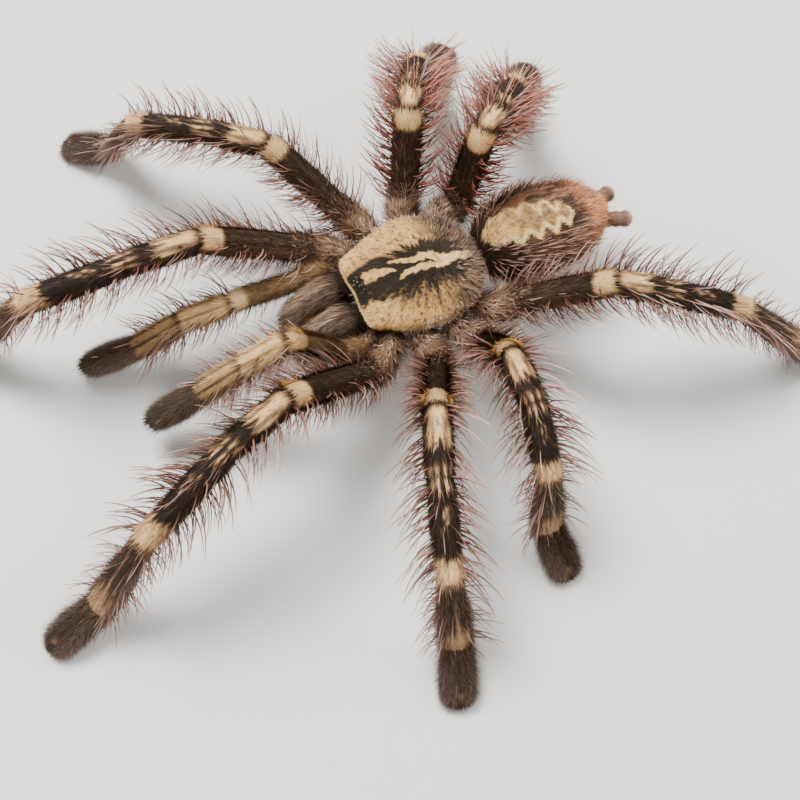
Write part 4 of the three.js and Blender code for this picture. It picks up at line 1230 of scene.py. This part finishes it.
for limb_number, name in enumerate(POSTURE):
    limb = name.rsplit("_", 1)[0]
    is_leg = limb != "palp"
    is_front = limb in ("leg_1", "palp")
    seed = 100 + 10 * limb_number
    inner_radius = COXA_INNER_RADIUS if is_leg else PALP_COXA_INNER_RADIUS
    outer_radii = LEG_RADII if is_leg else PALP_RADII
    first = outer_radii[0][0]
    radii = [(inner_radius, (inner_radius + first) / 2, first), *outer_radii]
    joints = limb_joints(limb, name)
    spreads = LEG_SPREAD if is_leg else PALP_SPREAD
    rings, along, fields = limb_rings(joints, radii, spreads, LEG_SIDES if is_leg else PALP_SIDES, RING_STEP)
    skin = skin_over(f"{name}_skin", rings, joints[0], rings[-1].mean(axis=0))
    places = with_ends(rings)
    segment, share, angle, nearest, ahead = (
        with_ends(fields[k]) for k in ("segment", "share", "angle", "nearest", "ahead"))
    segment = np.round(segment)
    last_segment = TARSUS if is_leg else METATARSUS
    shaggy = name in SHAGGY_LEGS
    shade_of = leg_shade if is_leg else palp_shade
    shade = shade_of(segment, share, angle, nearest, places, seed)
    write_field(skin, "shade", shade)
    skin.data.materials.append(leg_cuticle)
    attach(skin, "root")
    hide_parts(name)

    normals = point_normals(skin)
    comb = with_ends(np.repeat(along[:, None], rings.shape[1], axis=1))
    top = np.cos(np.radians(off_top(angle)))
    flank = 1 - np.abs(top)
    foot = segment == last_segment
    shin_end = (segment == METATARSUS) & is_leg
    shin_sole = step_up(share, 0.2, 0.5) * shin_end
    sole = np.maximum(foot * step_up(-top, -0.96, -0.75), shin_sole * step_up(-top, -0.65, -0.25))
    outside = step_up(segment, 0.4, 1.0)
    near_body = (segment <= TROCHANTER) * 1.0
    fluff = (0 if is_leg else 0.5) + 0.6 * near_body
    reach = 1.0 + 0.5 * flank + fluff
    lift = 0.22 + 0.3 * flank + 0.45 * fluff
    before_seam = (segment == FEMUR) * bump_at(ahead, 0.35, 0.42)
    cover = outside * (1 - 0.75 * bump_at(nearest, 0, 0.25)) * (1 - 0.65 * before_seam) * (1 - 0.6 * sole)
    lengths = np.linalg.norm(np.diff(joints, axis=0), axis=1)[segment.astype(int)]
    shown_share = np.minimum(share + HAIR_SHOWS_AHEAD / lengths, 1)
    write_field(skin, "shade", shade_of(segment, shown_share, angle, nearest, places, seed))
    coat_hair = leg_hair if is_leg else palp_hair
    coat = grow(skin, f"{name}_coat", SHORT_HAIR, coat_hair, cover, reach,
                comb + normals * lift[:, None], per_mm2=54 if is_leg else 60, seed=seed + 1,
                tangle=0.12, shade_spread=0.08)

    on_coxa = (segment == COXA) * step_up(share, 0.2, 0.35)
    on_femur = (segment == FEMUR) * (1 - step_up(share, 0.05, 0.3))
    on_trochanter = (segment == TROCHANTER) * (0.7 if is_front else 1)
    at_base = np.maximum(np.maximum(on_coxa, on_trochanter), on_femur)
    tuft_patch = 0.9 * (blotches(places, 1.1, seed + 6) - 0.5) - (0.16 if is_front else 0)
    tuft_shade = 0.48 + tuft_patch + 0.12 * (segment == TROCHANTER) - 0.2 * step_up(-top, 0, 0.6)
    write_field(skin, "shade", tuft_shade)
    tuft_reach = (1.4 + flank * (1.0 + 1.1 * near_body)) * (1 if is_leg else 0.8)
    tuft = grow(skin, f"{name}_tuft", LONG_HAIR, tan_hair, at_base, tuft_reach,
                comb * 0.8 + normals * 0.8, per_mm2=25, seed=seed + 4, tangle=0.5, shade_spread=0.28)

    grey = 0.3 - 0.14 * step_up(-top, 0.0, 0.8) - 0.2 * step_up(top, 0.35, 0.85)
    grey = grey + PALE_PADS.get(name, 0)
    write_field(skin, "shade", grey + 0.25 * shaggy)
    pad_reach = (1.7 if is_leg else 1.6) - 0.6 * step_up(-top, 0.3, 0.9) - 0.5 * shin_end * (1 - share)
    pad_reach = pad_reach - 0.6 * foot * step_up(share, 0.8, 1.0) - 0.5 * step_up(top, 0.3, 0.8)
    pad_cover = sole * np.where(top > 0.3, 0.7, 1.0)
    pad = grow(skin, f"{name}_pad", PAD_HAIR, pad_hair, pad_cover, pad_reach,
               comb * 0.8 + normals, per_mm2=95, seed=seed + 3, tangle=0.25, shade_spread=0.14)

    write_field(skin, "shade", shade * 0.8 + 0.07)
    down_cover = outside * (1 - 0.8 * foot) * (0.5 + 0.5 * step_up(flank, 0.1, 0.5))
    down = grow(skin, f"{name}_down", DOWN_HAIR, coat_hair, down_cover,
                np.full(len(places), 2.1), comb * 0.8 + normals * (0.3 + 0.4 * flank)[:, None],
                per_mm2=6.5, seed=seed + 5, tangle=0.3, shade_spread=0.3)

    write_field(skin, "shade", np.full(len(places), 0.5))
    sides = step_up(flank, 0.1, 0.55)
    below = step_up(-top, -0.25, 0.3)
    sparse = np.where(segment <= TROCHANTER, 0.25, np.where(foot, 0.1, 1.0)) * outside
    stand = sparse * (0.08 + 0.92 * sides) * (0.55 + 0.6 * below)
    if not is_leg:
        stand = stand * np.where(segment == FEMUR, 0.45 * below, 1.6)
    stand = stand * (1 - 0.25 * (segment >= METATARSUS) + 0.35 * below * (segment == FEMUR))
    stand = stand * (1 + 0.5 * shaggy * (segment >= PATELLA))
    usual = BRISTLE_LENGTHS * (1 if is_leg else 0.8)
    long_reach = usual[segment.astype(int)] * (0.75 + 0.25 * sides) * (1.08 - 0.2 * below)
    long_reach = long_reach * (1 + 0.15 * shaggy)
    if not is_leg:
        long_reach = np.where(foot, 1.4, long_reach)
    chitin = red_chitin if shaggy else bristle_chitin
    bristles = grow(skin, f"{name}_bristles", BRISTLE, chitin, stand, long_reach,
                    comb * 0.3 + normals, per_mm2=2.3, seed=seed + 2,
                    length_spread=0.3, tangle=0.22, shade_spread=0.4, back=-comb)
    write_field(skin, "shade", shade)

# ----------------------------------------------------------------------------------------------
# Claws: two small hooks at the tip of each leg, between the tufts of hair. They are hard black
# horn like the fangs, and grow from the end of the tarsus.
# ----------------------------------------------------------------------------------------------

CLAW_HALF_GAP = 0.42
CLAW_LENGTH = 0.95
CLAW_RADIUS = 0.13
CLAW_TIP_RADIUS = 0.015
CLAW_RINGS = 9
CLAW_SIDES = 8

for name in POSTURE:
    if name.startswith("palp"):
        continue
    limb = name.rsplit("_", 1)[0]
    joints = limb_joints(limb, name)
    way = unit((joints[-1] - joints[-2]) * [1, 1, 0.4])
    side = unit(np.cross([0, 0, 1], way))
    hooks = []
    for sign in (-1, 1):
        root = joints[-1] + side * sign * CLAW_HALF_GAP - way * 0.35 + [0, 0, 0.75]
        turns = np.linspace(0, 1, CLAW_RINGS)
        path = [root + way * (CLAW_LENGTH * t) + side * sign * 0.12 * t
                + np.array([0, 0, 0.25 * t - 0.85 * t * t]) for t in turns]
        hooks.append(tube(path, CLAW_RADIUS * (1 - turns) + CLAW_TIP_RADIUS, CLAW_SIDES))
    claws = join_meshes(f"{name}_claws", hooks)
    claws.data.materials.append(horn)
    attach(claws, "root")

# ----------------------------------------------------------------------------------------------
# Stage: a pale matt board under soft studio lamps, and the camera, which looks down from the left
# front of the animal.
# ----------------------------------------------------------------------------------------------

FLOOR_SIDE = 3.0
floor_corners = [(x * FLOOR_SIDE / 2, y * FLOOR_SIDE / 2, 0) for x, y in ((-1, -1), (1, -1), (1, 1), (-1, 1))]
floor_mesh = bpy.data.meshes.new("floor")
floor_mesh.from_pydata(floor_corners, [], [(0, 1, 2, 3)])
floor = bpy.data.objects.new("floor", floor_mesh)
bpy.context.scene.collection.objects.link(floor)
# Painted board without any shine, so the lamps leave soft shadows and no glare.
board, _, board_surface = new_material("pale matt board")
board_surface.inputs["Base Color"].default_value = linear("#dcdad6")
board_surface.inputs["Roughness"].default_value = 0.85
floor_mesh.materials.append(board)


def soft_lamp(name, place, aim, size, power):
    """A square studio lamp with a soft edge, aimed at a point."""
    lamp = bpy.data.lights.new(name, "AREA")
    lamp.size = size
    lamp.energy = power
    holder = bpy.data.objects.new(name, lamp)
    holder.location = place
    holder.rotation_euler = (Vector(aim) - Vector(place)).to_track_quat("-Z", "Y").to_euler()
    bpy.context.scene.collection.objects.link(holder)


soft_lamp("key lamp", (-0.35, -0.1, 0.6), (0, 0, 0), 0.3, 12.0)
soft_lamp("fill lamp", (0.55, -0.35, 0.45), (0, 0, 0), 0.5, 3.9)
soft_lamp("rim lamp", (0.1, 0.6, 0.4), (0, 0, 0), 0.4, 3.5)

world = bpy.data.worlds.new("studio")
bpy.context.scene.world = world
world.use_nodes = True
background = world.node_tree.nodes["Background"]
background.inputs["Color"].default_value = linear("#f1efec")
background.inputs["Strength"].default_value = 0.32

# The camera aims at a point on the floor, given in the animal's frame.
CAMERA_AZIMUTH = math.radians(57.203)
CAMERA_ELEVATION = math.radians(66.794)
CAMERA_ROLL = math.radians(8.233)
CAMERA_DISTANCE = 185.594
CAMERA_TARGET = np.array([13.465, -7.774, 0.0])
FOCAL_PIXELS = 1150
IMAGE_PIXELS = 800
SENSOR_MM = 36

away = np.array([
    math.sin(CAMERA_AZIMUTH) * math.cos(CAMERA_ELEVATION),
    -math.cos(CAMERA_AZIMUTH) * math.cos(CAMERA_ELEVATION),
    math.sin(CAMERA_ELEVATION),
])
right = unit(np.cross(-away, [0, 0, 1]))
above = np.cross(right, -away)
rolled_right = right * math.cos(CAMERA_ROLL) + above * math.sin(CAMERA_ROLL)
rolled_above = -right * math.sin(CAMERA_ROLL) + above * math.cos(CAMERA_ROLL)
lens_data = bpy.data.cameras.new("camera")
lens_data.sensor_width = SENSOR_MM
lens_data.lens = SENSOR_MM * FOCAL_PIXELS / IMAGE_PIXELS
lens_data.clip_start = 0.005
camera = bpy.data.objects.new("camera", lens_data)
turn = Matrix((rolled_right, rolled_above, away)).transposed().to_4x4()
stand = Vector((CAMERA_TARGET + CAMERA_DISTANCE * away + BODY_MIDDLE) * MM)
camera.matrix_world = Matrix.Translation(stand) @ turn
bpy.context.scene.collection.objects.link(camera)
bpy.context.scene.camera = camera
